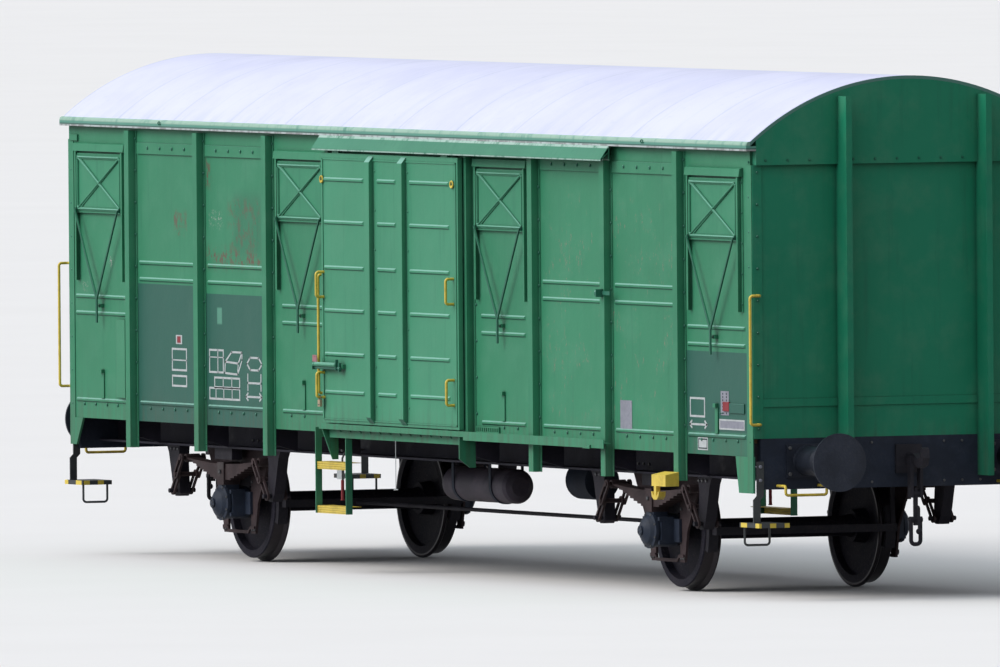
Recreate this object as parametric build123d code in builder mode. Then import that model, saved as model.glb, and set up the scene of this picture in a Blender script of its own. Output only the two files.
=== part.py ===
"""Two-axle covered goods van with sliding doors, eight sliding wall hatches and a barrel roof.

Millimetres. X runs along the van, Y across it, and Z up from the top of the rail. keep() lifts
each finished piece by one flange depth, so that the wheel flanges just touch the ground plane.
"Near" is the side at -Y and "left" the end at -X. The van looks the same after half a turn
about Z, so the far side is the near side turned.
"""
import os
from math import atan2, cos, degrees, radians, sin, sqrt

from build123d import *

# Clearances
SEAT_GAP = 0.3
MOVING_GAP = 6.0
JOURNAL_PLAY = 0.8

# Wheelsets
TREAD_RADIUS = 450.0
FLANGE_DEPTH = 30.0
WHEELBASE = 8000.0
WHEEL_OUTER_FACE = 815.0
RIM_WIDTH = 135.0
RIM_THICKNESS = 62.0
FLANGE_WIDTH = 30.0
WEB_THICKNESS = 22.0
HUB_RADIUS = 125.0
HUB_LENGTH = 180.0
HUB_PROUD = 25.0
AXLE_RADIUS = 80.0
WHEEL_SEAT_RADIUS = 92.0
JOURNAL_RADIUS = 65.0

# Places across the van that follow from the wheels
HUB_OUTER_FACE = WHEEL_OUTER_FACE + HUB_PROUD
GUARD_OUTER = WHEEL_OUTER_FACE + 105.0
GUARD_THICKNESS = 20.0
SPRING_Y = GUARD_OUTER + 95.0
SPRING_WIDTH = 120.0
JOURNAL_END = GUARD_OUTER + 165.0
SILL_OUT = GUARD_OUTER + 180.0
SILL_WEB = 10.0
SILL_FLANGE = 16.0

# Heights above the rail, from the axle up
SPRING_ABOVE_AXLE = 312.0
SPRING_ROOM = 128.0
SILL_HEIGHT = 300.0
FLOOR_THICKNESS = 45.0
SHEET_DROP = 149.0
WALL_HEIGHT = 2211.0
CORNICE_HEIGHT = 73.0
ROOF_RISE = 493.0
AXLE_Z = TREAD_RADIUS
SPRING_TOP = AXLE_Z + SPRING_ABOVE_AXLE
SILL_BOTTOM = SPRING_TOP + SPRING_ROOM
FLOOR_BOTTOM = SILL_BOTTOM + SILL_HEIGHT
FLOOR_TOP = FLOOR_BOTTOM + FLOOR_THICKNESS
SHEET_BOTTOM = FLOOR_TOP - SHEET_DROP
CORNICE_BOTTOM = FLOOR_TOP + WALL_HEIGHT
BODY_TOP = CORNICE_BOTTOM + CORNICE_HEIGHT
ROOF_EDGE_Z = BODY_TOP - 2.0
ROOF_APEX = ROOF_EDGE_Z + ROOF_RISE
GABLE_BOTTOM = CORNICE_BOTTOM - 110.0

# Body
BODY_HALF_LENGTH = 6390.0
BODY_HALF_WIDTH = 1320.0
WALL = 20.0
END_WALL = 30.0
GABLE_PROUD = 40.0
ROOF_THICKNESS = 25.0
ROOF_OVERHANG = 32.0
CORNICE_OUT = 64.0
ROOF_HALF_WIDTH = BODY_HALF_WIDTH + ROOF_OVERHANG

# Side posts
POST_DEPTH = 64.0
POST_FACE = 83.0
POST_FLANGE = 30.0
POST_SHEET = 6.0
POST_TOP = CORNICE_BOTTOM - 22.0
POST_FOOT = SHEET_BOTTOM - 213.0
POST_OUT = BODY_HALF_WIDTH + POST_DEPTH
DOOR_OPENING = 2500.0
DOOR_POST_WIDTH = 103.0
DOOR_POST_IN = DOOR_OPENING / 2
DOOR_POST_OUT = DOOR_POST_IN + DOOR_POST_WIDTH
INNER_BAY = 1137.0
END_BAY = 1260.0
CORNER_STRIP = 100.0
FIRST_POST = DOOR_POST_OUT + INNER_BAY
LAST_POST = BODY_HALF_LENGTH - END_BAY
POST_CENTRES = (FIRST_POST, (FIRST_POST + LAST_POST) / 2, LAST_POST)
POST_PITCH = POST_CENTRES[1] - FIRST_POST

# Buffers
BUFFER_SPACING = 875.0
BUFFER_REACH = 620.0
BUFFER_HEIGHT = SILL_BOTTOM + 160.0

# Wall beads: rows of low pressed ridges
BEAD_RISE = 11.0
BEAD_WIDTH = 36.0

# Wall hatches
HATCH_INNER = DOOR_POST_OUT + 517.0
HATCH_OUTER = BODY_HALF_LENGTH - 645.0
HATCH_HALF_WIDTH = 445.0
HATCH_HEIGHT = 482.0
HATCH_TOP = CORNICE_BOTTOM - 218.0
HATCH_BOTTOM = HATCH_TOP - HATCH_HEIGHT
HATCH_THICKNESS = 18.0
HATCH_RIB = 7.0
HATCH_TRAVEL = 530.0
WINDOW_MARGIN = 45.0
GUIDE_BOTTOM = HATCH_BOTTOM - HATCH_TRAVEL - 16.0
GUIDE_TOP = HATCH_TOP + 12.0
GUIDE_HALF_WIDTH = HATCH_HALF_WIDTH + 45.0
ROD_APEX = HATCH_BOTTOM - 690.0
HANDLE_END = ROD_APEX - 192.0
HATCH_CENTRES = (-HATCH_OUTER, -HATCH_INNER, HATCH_INNER, HATCH_OUTER)

# Doors
DOOR_OVERLAP = 30.0
DOOR_HALF_WIDTH = DOOR_POST_IN + DOOR_OVERLAP
DOOR_TRAVEL = 2500.0
DOOR_BOTTOM = SHEET_BOTTOM + 84.0
DOOR_TOP = CORNICE_BOTTOM - 136.0
DOOR_INNER = POST_OUT + 11.0
DOOR_THICKNESS = 40.0
DOOR_RIB = 40.0
DOOR_OUTER = DOOR_INNER + DOOR_THICKNESS
TRACK_Z = DOOR_BOTTOM - 36.0

# Places along the van
AXLE_X = WHEELBASE / 2
HEADSTOCK_FACE = BODY_HALF_LENGTH


def block(x, y, z, mode=Mode.ADD):
    """A plain block between the low and high values given for each axis."""
    with Locations(((x[0] + x[1]) / 2, (y[0] + y[1]) / 2, (z[0] + z[1]) / 2)):
        Box(x[1] - x[0], y[1] - y[0], z[1] - z[0], mode=mode)


def turned(shape):
    """The same pieces on the other side: half a turn about the middle of the van."""
    return shape.rotate(Axis.Z, 180)


def bar(points, radius, bend=0.0):
    """A round bar along straight runs, with rounded corners where a bend radius is given."""
    with BuildLine() as route:
        if bend:
            FilletPolyline(*points, radius=bend)
        else:
            Polyline(*points)
    start = Vector(*points[0])
    along = Vector(*points[1]) - start
    with BuildSketch(Plane(origin=start, z_dir=along)) as section:
        Circle(radius)
    sweep(sections=section.sketch, path=route.wire(), transition=Transition.RIGHT)


def keep(builder, name):
    """Stand a finished piece on its wheels' flanges, label it and write it to its file."""
    piece = builder.part.moved(Location((0, 0, FLANGE_DEPTH)))
    piece.label = name
    export_step(piece, f"parts/{name}.step")


os.makedirs("parts", exist_ok=True)

# Wheelsets: an axle with two pressed-on wheels
WHEEL_INNER_FACE = WHEEL_OUTER_FACE - RIM_WIDTH
RIM_INNER = TREAD_RADIUS - RIM_THICKNESS
HUB_INNER_FACE = HUB_OUTER_FACE - HUB_LENGTH
WEB_OUT_AT_RIM = WHEEL_OUTER_FACE - 60.0
WEB_OUT_AT_HUB = HUB_OUTER_FACE - 50.0


# Half section of a wheel: place across the van, radius
WHEEL_PROFILE = (
    (HUB_INNER_FACE, WHEEL_SEAT_RADIUS),
    (HUB_OUTER_FACE, WHEEL_SEAT_RADIUS),
    (HUB_OUTER_FACE, HUB_RADIUS),
    (WEB_OUT_AT_HUB, HUB_RADIUS + 12.0),
    (WEB_OUT_AT_RIM, RIM_INNER - 8.0),
    (WHEEL_OUTER_FACE, RIM_INNER),
    (WHEEL_OUTER_FACE, TREAD_RADIUS - 8.0),
    (WHEEL_OUTER_FACE - 8.0, TREAD_RADIUS - 2.0),
    (WHEEL_INNER_FACE + FLANGE_WIDTH + 14.0, TREAD_RADIUS + 3.0),
    (WHEEL_INNER_FACE + FLANGE_WIDTH - 10.0, TREAD_RADIUS + FLANGE_DEPTH),
    (WHEEL_INNER_FACE + 8.0, TREAD_RADIUS + FLANGE_DEPTH),
    (WHEEL_INNER_FACE, TREAD_RADIUS + 12.0),
    (WHEEL_INNER_FACE, RIM_INNER),
    (WEB_OUT_AT_RIM - WEB_THICKNESS, RIM_INNER - 8.0),
    (WEB_OUT_AT_HUB - WEB_THICKNESS, HUB_RADIUS + 12.0),
    (HUB_INNER_FACE, HUB_RADIUS),
)

for end, axle_x in (("left", -AXLE_X), ("right", AXLE_X)):
    middle = Plane(origin=(axle_x, 0, AXLE_Z), x_dir=(0, 1, 0), z_dir=(1, 0, 0))
    spin = Axis((axle_x, 0, AXLE_Z), (0, 1, 0))
    with BuildPart() as wheels:
        with BuildSketch(middle):
            with BuildLine():
                Polyline(*WHEEL_PROFILE, close=True)
            make_face()
        revolve(axis=spin)
        mirror(about=Plane.XZ)
    keep(wheels, f"wheels_{end}")
    with BuildPart() as axle:
        with BuildSketch(middle):
            with BuildLine():
                Polyline(
                    (0, 0),
                    (JOURNAL_END, 0),
                    (JOURNAL_END, JOURNAL_RADIUS),
                    (HUB_OUTER_FACE + 25.0, JOURNAL_RADIUS),
                    (HUB_OUTER_FACE + 5.0, WHEEL_SEAT_RADIUS - SEAT_GAP),
                    (HUB_INNER_FACE - 10.0, WHEEL_SEAT_RADIUS - SEAT_GAP),
                    (HUB_INNER_FACE - 60.0, AXLE_RADIUS),
                    (0, AXLE_RADIUS),
                    close=True,
                )
            make_face()
        revolve(axis=spin)
        mirror(about=Plane.XZ)
    keep(axle, f"axle_{end}")

# Axle guards: plates with two legs, on the inner side of the sole bars
LEG_IN = 220.0
LEG_OUT = 350.0
LEG_FOOT_OUT = 300.0
GUARD_FOOT = AXLE_Z - 245.0
GUARD_TOP = SILL_BOTTOM + 160.0
GUARD_WING = 620.0
TIE_BAR_HEIGHT = 26.0
TIE_BAR_DIP = 34.0
TIE_BAR_THICKNESS = 14.0

with BuildPart() as axle_guards:
    for axle_x in (-AXLE_X, AXLE_X):
        guard_plane = Plane(origin=(axle_x, -GUARD_OUTER, 0), x_dir=(1, 0, 0), z_dir=(0, -1, 0))
        with BuildSketch(guard_plane):
            with BuildLine():
                Polyline(
                    (LEG_IN, GUARD_FOOT),
                    (LEG_FOOT_OUT, GUARD_FOOT),
                    (LEG_OUT, AXLE_Z),
                    (GUARD_WING, SILL_BOTTOM),
                    (GUARD_WING, GUARD_TOP),
                    (-GUARD_WING, GUARD_TOP),
                    (-GUARD_WING, SILL_BOTTOM),
                    (-LEG_OUT, AXLE_Z),
                    (-LEG_FOOT_OUT, GUARD_FOOT),
                    (-LEG_IN, GUARD_FOOT),
                    (-LEG_IN, AXLE_Z + 230.0),
                    (-LEG_IN + 60.0, AXLE_Z + 290.0),
                    (LEG_IN - 60.0, AXLE_Z + 290.0),
                    (LEG_IN, AXLE_Z + 230.0),
                    close=True,
                )
            make_face()
        extrude(amount=-GUARD_THICKNESS)
        tie_top = GUARD_FOOT + TIE_BAR_DIP
        tie_in = LEG_IN - TIE_BAR_DIP
        with BuildSketch(guard_plane):
            with BuildLine():
                Polyline(
                    (-LEG_FOOT_OUT, tie_top),
                    (-LEG_IN, tie_top),
                    (-tie_in, tie_top - TIE_BAR_DIP),
                    (tie_in, tie_top - TIE_BAR_DIP),
                    (LEG_IN, tie_top),
                    (LEG_FOOT_OUT, tie_top),
                    (LEG_FOOT_OUT, tie_top + TIE_BAR_HEIGHT),
                    (LEG_IN, tie_top + TIE_BAR_HEIGHT),
                    (tie_in, tie_top + TIE_BAR_HEIGHT - TIE_BAR_DIP),
                    (-tie_in, tie_top + TIE_BAR_HEIGHT - TIE_BAR_DIP),
                    (-LEG_IN, tie_top + TIE_BAR_HEIGHT),
                    (-LEG_FOOT_OUT, tie_top + TIE_BAR_HEIGHT),
                    close=True,
                )
            make_face()
        extrude(amount=TIE_BAR_THICKNESS)
    add(turned(axle_guards.part))
keep(axle_guards, "axle_guards")

# Axleboxes: round roller-bearing boxes with a stepped conical cover, guided by the legs
BOX_RADIUS = 137.0
BOX_BACK = HUB_OUTER_FACE + 28.0
BOX_FRONT = GUARD_OUTER + 168.0
COVER_REACH = 78.0
COVER_FRONT = BOX_FRONT + COVER_REACH
COVER_STEP = 14.0
CAP_RADIUS = 38.0
GUIDE_REACH = LEG_IN + 32.0
GUIDE_CHEEK = 22.0
GUIDE_HALF_HEIGHT = 90.0
BODY_HALF_HEIGHT = 106.0
BODY_REACH = 152.0
LUG_SIZE = 30.0
SEAT_HALF_WIDTH = 70.0
BOX_SEAT_Z = AXLE_Z + BOX_RADIUS + 8.0

with BuildPart() as axleboxes:
    for axle_x in (-AXLE_X, AXLE_X):
        middle = Plane(origin=(axle_x, 0, AXLE_Z), x_dir=(0, -1, 0), z_dir=(-1, 0, 0))
        for y_face in (GUARD_OUTER + SEAT_GAP, GUARD_OUTER - GUARD_THICKNESS - SEAT_GAP - GUIDE_CHEEK):
            block(
                (axle_x - GUIDE_REACH, axle_x + GUIDE_REACH),
                (-y_face - GUIDE_CHEEK, -y_face),
                (AXLE_Z - GUIDE_HALF_HEIGHT, AXLE_Z + GUIDE_HALF_HEIGHT),
            )
        block(
            (axle_x - LEG_IN + SEAT_GAP, axle_x + LEG_IN - SEAT_GAP),
            (-GUARD_OUTER - GUIDE_CHEEK, -GUARD_OUTER + GUARD_THICKNESS + GUIDE_CHEEK),
            (AXLE_Z - GUIDE_HALF_HEIGHT, AXLE_Z + GUIDE_HALF_HEIGHT),
        )
        block(
            (axle_x - SEAT_HALF_WIDTH, axle_x + SEAT_HALF_WIDTH),
            (-SPRING_Y - SPRING_WIDTH / 2, -SPRING_Y + SPRING_WIDTH / 2),
            (AXLE_Z, BOX_SEAT_Z),
        )
        block(
            (axle_x - BODY_REACH, axle_x + BODY_REACH),
            (-BOX_FRONT + 40.0, -GUARD_OUTER - GUIDE_CHEEK),
            (AXLE_Z - BODY_HALF_HEIGHT, AXLE_Z + BODY_HALF_HEIGHT),
        )
        for way in (-1, 1):
            for lug_z in (AXLE_Z - BODY_HALF_HEIGHT, AXLE_Z + BODY_HALF_HEIGHT - LUG_SIZE):
                block(
                    sorted((axle_x + way * BODY_REACH, axle_x + way * (BODY_REACH - LUG_SIZE))),
                    (-BOX_FRONT + 22.0, -BOX_FRONT + 40.0),
                    (lug_z, lug_z + LUG_SIZE),
                )
        with BuildSketch(middle):
            with BuildLine():
                Polyline(
                    (BOX_BACK, 0),
                    (COVER_FRONT, 0),
                    (COVER_FRONT, CAP_RADIUS),
                    (COVER_FRONT - COVER_STEP, CAP_RADIUS),
                    (COVER_FRONT - COVER_STEP, CAP_RADIUS + COVER_STEP),
                    (COVER_FRONT - COVER_REACH / 2, BOX_RADIUS * 0.66),
                    (COVER_FRONT - COVER_REACH / 2 - COVER_STEP / 2, BOX_RADIUS * 0.74),
                    (BOX_FRONT + 6.0, BOX_RADIUS - 16.0),
                    (BOX_FRONT, BOX_RADIUS + 4.0),
                    (BOX_FRONT - 26.0, BOX_RADIUS + 4.0),
                    (BOX_FRONT - 26.0, BOX_RADIUS - 8.0),
                    (BOX_BACK, BOX_RADIUS - 8.0),
                    close=True,
                )
            make_face()
        spin = Axis((axle_x, 0, AXLE_Z), (0, 1, 0))
        revolve(axis=spin)
        with BuildSketch(Plane(origin=(axle_x, -BOX_BACK, AXLE_Z), z_dir=(0, -1, 0))):
            Circle(JOURNAL_RADIUS + JOURNAL_PLAY)
        extrude(amount=JOURNAL_END + MOVING_GAP - BOX_BACK, mode=Mode.SUBTRACT)
    add(turned(axleboxes.part))
keep(axleboxes, "axleboxes")

# Leaf springs: stepped leaves, longest on top, in a forged buckle that stands on the axlebox
LEAF_COUNT = 8
LEAF_THICKNESS = 16.0
LEAF_HALF_LENGTH = 625.0
LEAF_STEP = 66.0
SPRING_CAMBER = 30.0
EYE_X = LEAF_HALF_LENGTH + 75.0
EYE_RADIUS = 34.0
PIN_RADIUS = 18.0
PIN_REACH = SPRING_WIDTH / 2 + 54.0
BUCKLE_HALF_WIDTH = 62.0
BUCKLE_HALF_DEPTH = SPRING_WIDTH / 2 + 14.0
BUCKLE_CAP = 14.0


def leaf_rise(x):
    """How far the arched leaves stand above their middle at x."""
    return SPRING_CAMBER * (x / LEAF_HALF_LENGTH) ** 2


EYE_Z = SPRING_TOP + leaf_rise(EYE_X) - LEAF_THICKNESS / 2

with BuildPart() as leaf_springs:
    for axle_x in (-AXLE_X, AXLE_X):
        side = Plane(
            origin=(axle_x, -SPRING_Y + SPRING_WIDTH / 2, SPRING_TOP), x_dir=(1, 0, 0), z_dir=(0, -1, 0)
        )
        steps = []
        for i in range(LEAF_COUNT):
            tip = LEAF_HALF_LENGTH - LEAF_STEP * i
            steps.append((tip, leaf_rise(tip) - LEAF_THICKNESS * i))
            steps.append((tip, leaf_rise(tip) - LEAF_THICKNESS * (i + 1)))
        left_steps = [(-x, z) for x, z in reversed(steps)]
        with BuildSketch(side):
            with BuildLine():
                Polyline(*steps, *left_steps)
                ThreePointArc(left_steps[-1], (0, 0), steps[0])
            make_face()
            for way in (-1, 1):
                with Locations((way * EYE_X, EYE_Z - SPRING_TOP)):
                    Circle(EYE_RADIUS)
                with BuildLine():
                    Polyline(
                        (way * LEAF_HALF_LENGTH, steps[0][1]),
                        (way * EYE_X, EYE_Z - SPRING_TOP + LEAF_THICKNESS / 2),
                        (way * EYE_X, EYE_Z - SPRING_TOP - LEAF_THICKNESS / 2),
                        (way * (LEAF_HALF_LENGTH - LEAF_STEP), steps[2][1]),
                        close=True,
                    )
                make_face()
        extrude(amount=SPRING_WIDTH)
        block(
            (axle_x - BUCKLE_HALF_WIDTH, axle_x + BUCKLE_HALF_WIDTH),
            (-SPRING_Y - BUCKLE_HALF_DEPTH, -SPRING_Y + BUCKLE_HALF_DEPTH),
            (BOX_SEAT_Z, SPRING_TOP + BUCKLE_CAP),
        )
        for way in (-1, 1):
            with Locations(
                Location((axle_x + way * EYE_X, -SPRING_Y, EYE_Z), (90, 0, 0))
            ):
                Cylinder(PIN_RADIUS, 2 * PIN_REACH)
    add(turned(leaf_springs.part))
keep(leaf_springs, "leaf_springs")

# Spring brackets under the sole bars, with the pins that the links hang from
BRACKET_PIN_X = EYE_X + 205.0
BRACKET_PIN_Z = SILL_BOTTOM - 365.0
BRACKET_HALF_DEPTH = 45.0
STOP_HALF_LENGTH = 165.0
STOP_GAP = 22.0

with BuildPart() as spring_brackets:
    for axle_x in (-AXLE_X, AXLE_X):
        for way in (-1, 1):
            side = Plane(
                origin=(axle_x, -SPRING_Y + BRACKET_HALF_DEPTH, 0), x_dir=(1, 0, 0), z_dir=(0, -1, 0)
            )
            with BuildSketch(side):
                with BuildLine():
                    Polyline(
                        (way * (BRACKET_PIN_X - 62.0), BRACKET_PIN_Z - 20.0),
                        (way * (BRACKET_PIN_X - 30.0), BRACKET_PIN_Z - 45.0),
                        (way * (BRACKET_PIN_X + 30.0), BRACKET_PIN_Z - 45.0),
                        (way * (BRACKET_PIN_X + 70.0), BRACKET_PIN_Z + 20.0),
                        (way * (BRACKET_PIN_X + 150.0), SILL_BOTTOM - 60.0),
                        (way * (BRACKET_PIN_X + 190.0), SILL_BOTTOM),
                        (way * (BRACKET_PIN_X - 60.0), SILL_BOTTOM),
                        (way * (BRACKET_PIN_X - 40.0), SILL_BOTTOM - 120.0),
                        close=True,
                    )
                make_face()
            extrude(amount=2 * BRACKET_HALF_DEPTH)
            with Locations(
                Location((axle_x + way * BRACKET_PIN_X, -SPRING_Y, BRACKET_PIN_Z), (90, 0, 0))
            ):
                Cylinder(PIN_RADIUS, 2 * PIN_REACH)
        block(
            (axle_x - STOP_HALF_LENGTH, axle_x + STOP_HALF_LENGTH),
            (-SPRING_Y - BRACKET_HALF_DEPTH, -SPRING_Y + BRACKET_HALF_DEPTH),
            (SPRING_TOP + BUCKLE_CAP + STOP_GAP, SILL_BOTTOM),
        )
    add(turned(spring_brackets.part))
keep(spring_brackets, "spring_brackets")

# Spring links: on each side of a spring's end two rings in line, joined by a pin of their own.
# The upper ring hangs on the spring's eye and the lower one on the bracket's pin, inside it.
LINK_THICKNESS = 18.0
LINK_RIM = 17.0
LINK_SIDE_GAP = 2.0
LINK_RUN = sqrt((BRACKET_PIN_X - EYE_X) ** 2 + (EYE_Z - BRACKET_PIN_Z) ** 2)
LINK_TILT = atan2(BRACKET_PIN_Z - EYE_Z, BRACKET_PIN_X - EYE_X)
LOWER_LINK_Y = SPRING_WIDTH / 2 + 8.0
UPPER_LINK_Y = LOWER_LINK_Y + LINK_THICKNESS + LINK_SIDE_GAP

with BuildPart() as spring_links:
    for axle_x in (-AXLE_X, AXLE_X):
        for way in (-1, 1):
            middle_x = axle_x + way * (BRACKET_PIN_X + EYE_X) / 2
            middle_z = (EYE_Z + BRACKET_PIN_Z) / 2
            along = (way * cos(LINK_TILT), 0, sin(LINK_TILT))
            # Share of the run from the middle to this ring's own middle, and its place across
            for share, link_y in ((-0.25, UPPER_LINK_Y), (0.25, LOWER_LINK_Y)):
                for face_y in (-SPRING_Y - link_y, -SPRING_Y + link_y + LINK_THICKNESS):
                    centre = (
                        middle_x + share * LINK_RUN * along[0],
                        face_y,
                        middle_z + share * LINK_RUN * along[2],
                    )
                    bore = 2 * (PIN_RADIUS + SEAT_GAP)
                    with BuildSketch(Plane(origin=centre, x_dir=along, z_dir=(0, -1, 0))):
                        SlotCenterToCenter(LINK_RUN / 2, bore + 2 * LINK_RIM)
                        SlotCenterToCenter(LINK_RUN / 2, bore, mode=Mode.SUBTRACT)
                    extrude(amount=LINK_THICKNESS)
            with Locations(Location((middle_x, -SPRING_Y, middle_z), (90, 0, 0))):
                Cylinder(PIN_RADIUS, 2 * PIN_REACH)
    add(turned(spring_links.part))
keep(spring_links, "spring_links")

# Underframe
SILL_IN = GUARD_OUTER
HEADSTOCK_THICKNESS = 60.0
HEADSTOCK_BOTTOM = SILL_BOTTOM - 58.0
HEADSTOCK_TOP = FLOOR_TOP - 9.0
HEADSTOCK_BACK = HEADSTOCK_FACE - HEADSTOCK_THICKNESS
HEADSTOCK_HALF_WIDTH = BODY_HALF_WIDTH - 60.0

with BuildPart() as solebars:
    with BuildSketch(Plane.YZ.offset(-HEADSTOCK_BACK)):
        with BuildLine():
            Polyline(
                (-SILL_IN, SILL_BOTTOM),
                (-SILL_OUT, SILL_BOTTOM),
                (-SILL_OUT, SILL_BOTTOM + SILL_FLANGE),
                (-SILL_IN - SILL_WEB, SILL_BOTTOM + SILL_FLANGE),
                (-SILL_IN - SILL_WEB, FLOOR_BOTTOM - SILL_FLANGE),
                (-SILL_OUT, FLOOR_BOTTOM - SILL_FLANGE),
                (-SILL_OUT, FLOOR_BOTTOM),
                (-SILL_IN, FLOOR_BOTTOM),
                close=True,
            )
        make_face()
    extrude(amount=2 * HEADSTOCK_BACK)
    mirror(about=Plane.XZ)
keep(solebars, "solebars")

with BuildPart() as headstocks:
    block(
        (HEADSTOCK_BACK, HEADSTOCK_FACE),
        (-HEADSTOCK_HALF_WIDTH, HEADSTOCK_HALF_WIDTH),
        (HEADSTOCK_BOTTOM, HEADSTOCK_TOP),
    )
    mirror(about=Plane.YZ)
keep(headstocks, "headstocks")

CENTRE_SILL_Y = 350.0
CENTRE_SILL_HALF_FLANGE = 45.0
CENTRE_SILL_FLANGE = 12.0
CENTRE_SILL_BOTTOM = FLOOR_BOTTOM - 220.0
CROSS_THICKNESS = 12.0
CROSS_MIDDLE = CENTRE_SILL_Y - CENTRE_SILL_HALF_FLANGE
CROSS_OUTSIDE = CENTRE_SILL_Y + CENTRE_SILL_HALF_FLANGE
CROSS_BOTTOM = FLOOR_BOTTOM - 240.0
CROSS_FROM_AXLE = 650.0
DOOR_BRACKET_X = DOOR_POST_IN + 50.0
CROSS_PLACES = (
    0.0,
    DOOR_BRACKET_X,
    FIRST_POST,
    AXLE_X - CROSS_FROM_AXLE,
    AXLE_X + CROSS_FROM_AXLE,
    LAST_POST + 170.0,
)

with BuildPart() as centre_sills:
    with BuildSketch(Plane.YZ.offset(-HEADSTOCK_BACK)):
        with Locations((-CENTRE_SILL_Y, (CENTRE_SILL_BOTTOM + FLOOR_BOTTOM) / 2)):
            Rectangle(SILL_WEB, FLOOR_BOTTOM - CENTRE_SILL_BOTTOM)
        for z in (CENTRE_SILL_BOTTOM + CENTRE_SILL_FLANGE / 2, FLOOR_BOTTOM - CENTRE_SILL_FLANGE / 2):
            with Locations((-CENTRE_SILL_Y, z)):
                Rectangle(2 * CENTRE_SILL_HALF_FLANGE, CENTRE_SILL_FLANGE)
    extrude(amount=2 * HEADSTOCK_BACK)
    mirror(about=Plane.XZ)
keep(centre_sills, "centre_sills")

with BuildPart() as cross_members:
    for place in CROSS_PLACES:
        for way in (-1, 1) if place else (1,):
            x = (way * place - CROSS_THICKNESS / 2, way * place + CROSS_THICKNESS / 2)
            block(x, (-CROSS_MIDDLE, CROSS_MIDDLE), (CROSS_BOTTOM, FLOOR_BOTTOM))
            for side in (-1, 1):
                reach = SILL_IN if abs(place - AXLE_X) > GUARD_WING else SILL_IN - GUARD_THICKNESS
                block(x, sorted((side * CROSS_OUTSIDE, side * reach)), (CROSS_BOTTOM, FLOOR_BOTTOM))
keep(cross_members, "cross_members")

# Outriggers: brackets that carry the side posts outside the sole bars
OUTRIGGER_THICKNESS = 10.0
OUTRIGGER_TIP = SILL_BOTTOM + 70.0

with BuildPart() as outriggers:
    for place in (*POST_CENTRES, DOOR_BRACKET_X):
        for way in (-1, 1):
            with BuildSketch(Plane.YZ.offset(way * place - OUTRIGGER_THICKNESS / 2)):
                with BuildLine():
                    Polyline(
                        (-SILL_OUT, SILL_BOTTOM + 10.0),
                        (-BODY_HALF_WIDTH + WALL, OUTRIGGER_TIP),
                        (-BODY_HALF_WIDTH + WALL, FLOOR_BOTTOM),
                        (-SILL_OUT, FLOOR_BOTTOM),
                        close=True,
                    )
                make_face()
            extrude(amount=OUTRIGGER_THICKNESS)
    mirror(about=Plane.XZ)
keep(outriggers, "outriggers")

with BuildPart() as floor:
    block(
        (-HEADSTOCK_BACK, HEADSTOCK_BACK),
        (-BODY_HALF_WIDTH + WALL, BODY_HALF_WIDTH - WALL),
        (FLOOR_BOTTOM, FLOOR_TOP),
    )
keep(floor, "floor")

# Side sheets, one on each side of each doorway, with two hatch windows and pressed beads
WINDOW_HALF_WIDTH = HATCH_HALF_WIDTH - WINDOW_MARGIN
BEAD_HALF_LENGTH = (POST_PITCH - POST_FACE - 2 * POST_FLANGE) / 2 - 40.0
HATCH_BAY_BEADS = (FLOOR_TOP + 700.0, FLOOR_TOP + 835.0)
PLAIN_BAY_BEADS = (FLOOR_TOP + 994.0, FLOOR_TOP + 1127.0)
SHEET_FOLD = SHEET_BOTTOM + 147.0
SHEET_HEAD = CORNICE_BOTTOM - 154.0
# Bays from the doorway outwards: middle, share of a full bead's length, bead heights
BAYS = (
    (HATCH_INNER, 0.74, HATCH_BAY_BEADS),
    (POST_CENTRES[1] - POST_PITCH / 2, 1.0, (*PLAIN_BAY_BEADS, SHEET_HEAD)),
    (POST_CENTRES[1] + POST_PITCH / 2, 1.0, (*PLAIN_BAY_BEADS, SHEET_HEAD)),
    (HATCH_OUTER, 0.94, HATCH_BAY_BEADS),
)
# A folded cover on the left end bay, proud at its right edge
COVER_X = (HATCH_OUTER - 245.0, HATCH_OUTER - 485.0)
COVER_HEIGHT = 630.0
COVER_Z = (FLOOR_TOP + 30.0, FLOOR_TOP + 30.0 + COVER_HEIGHT)
COVER_RISE = 30.0

for end, far_end, way in (("left", "right", -1), ("right", "left", 1)):
    with BuildPart() as side:
        block(
            sorted((way * DOOR_POST_OUT, way * (BODY_HALF_LENGTH - END_WALL))),
            (-BODY_HALF_WIDTH, -BODY_HALF_WIDTH + WALL),
            (SHEET_BOTTOM, CORNICE_BOTTOM),
        )
        with BuildSketch(Plane.XZ.offset(BODY_HALF_WIDTH)):
            for middle, share, heights in BAYS:
                for height in (SHEET_FOLD, *heights):
                    with Locations((way * middle, height)):
                        Rectangle(2 * BEAD_HALF_LENGTH * share, BEAD_WIDTH)
        extrude(amount=BEAD_RISE, taper=45)
        for centre in (HATCH_INNER, HATCH_OUTER):
            block(
                (way * centre - WINDOW_HALF_WIDTH, way * centre + WINDOW_HALF_WIDTH),
                (-BODY_HALF_WIDTH - WALL, -BODY_HALF_WIDTH + 2 * WALL),
                (HATCH_BOTTOM + WINDOW_MARGIN, HATCH_TOP - WINDOW_MARGIN),
                Mode.SUBTRACT,
            )
        if way < 0:
            with BuildSketch(Plane.XY.offset(COVER_Z[0])):
                with BuildLine():
                    Polyline(
                        (way * COVER_X[0], -BODY_HALF_WIDTH),
                        (way * COVER_X[1], -BODY_HALF_WIDTH),
                        (way * COVER_X[1], -BODY_HALF_WIDTH - COVER_RISE),
                        close=True,
                    )
                make_face()
            extrude(amount=COVER_Z[1] - COVER_Z[0])
    keep(side, f"side_near_{end}")
    with BuildPart() as far_side:
        add(turned(side.part))
    keep(far_side, f"side_far_{far_end}")

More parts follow.
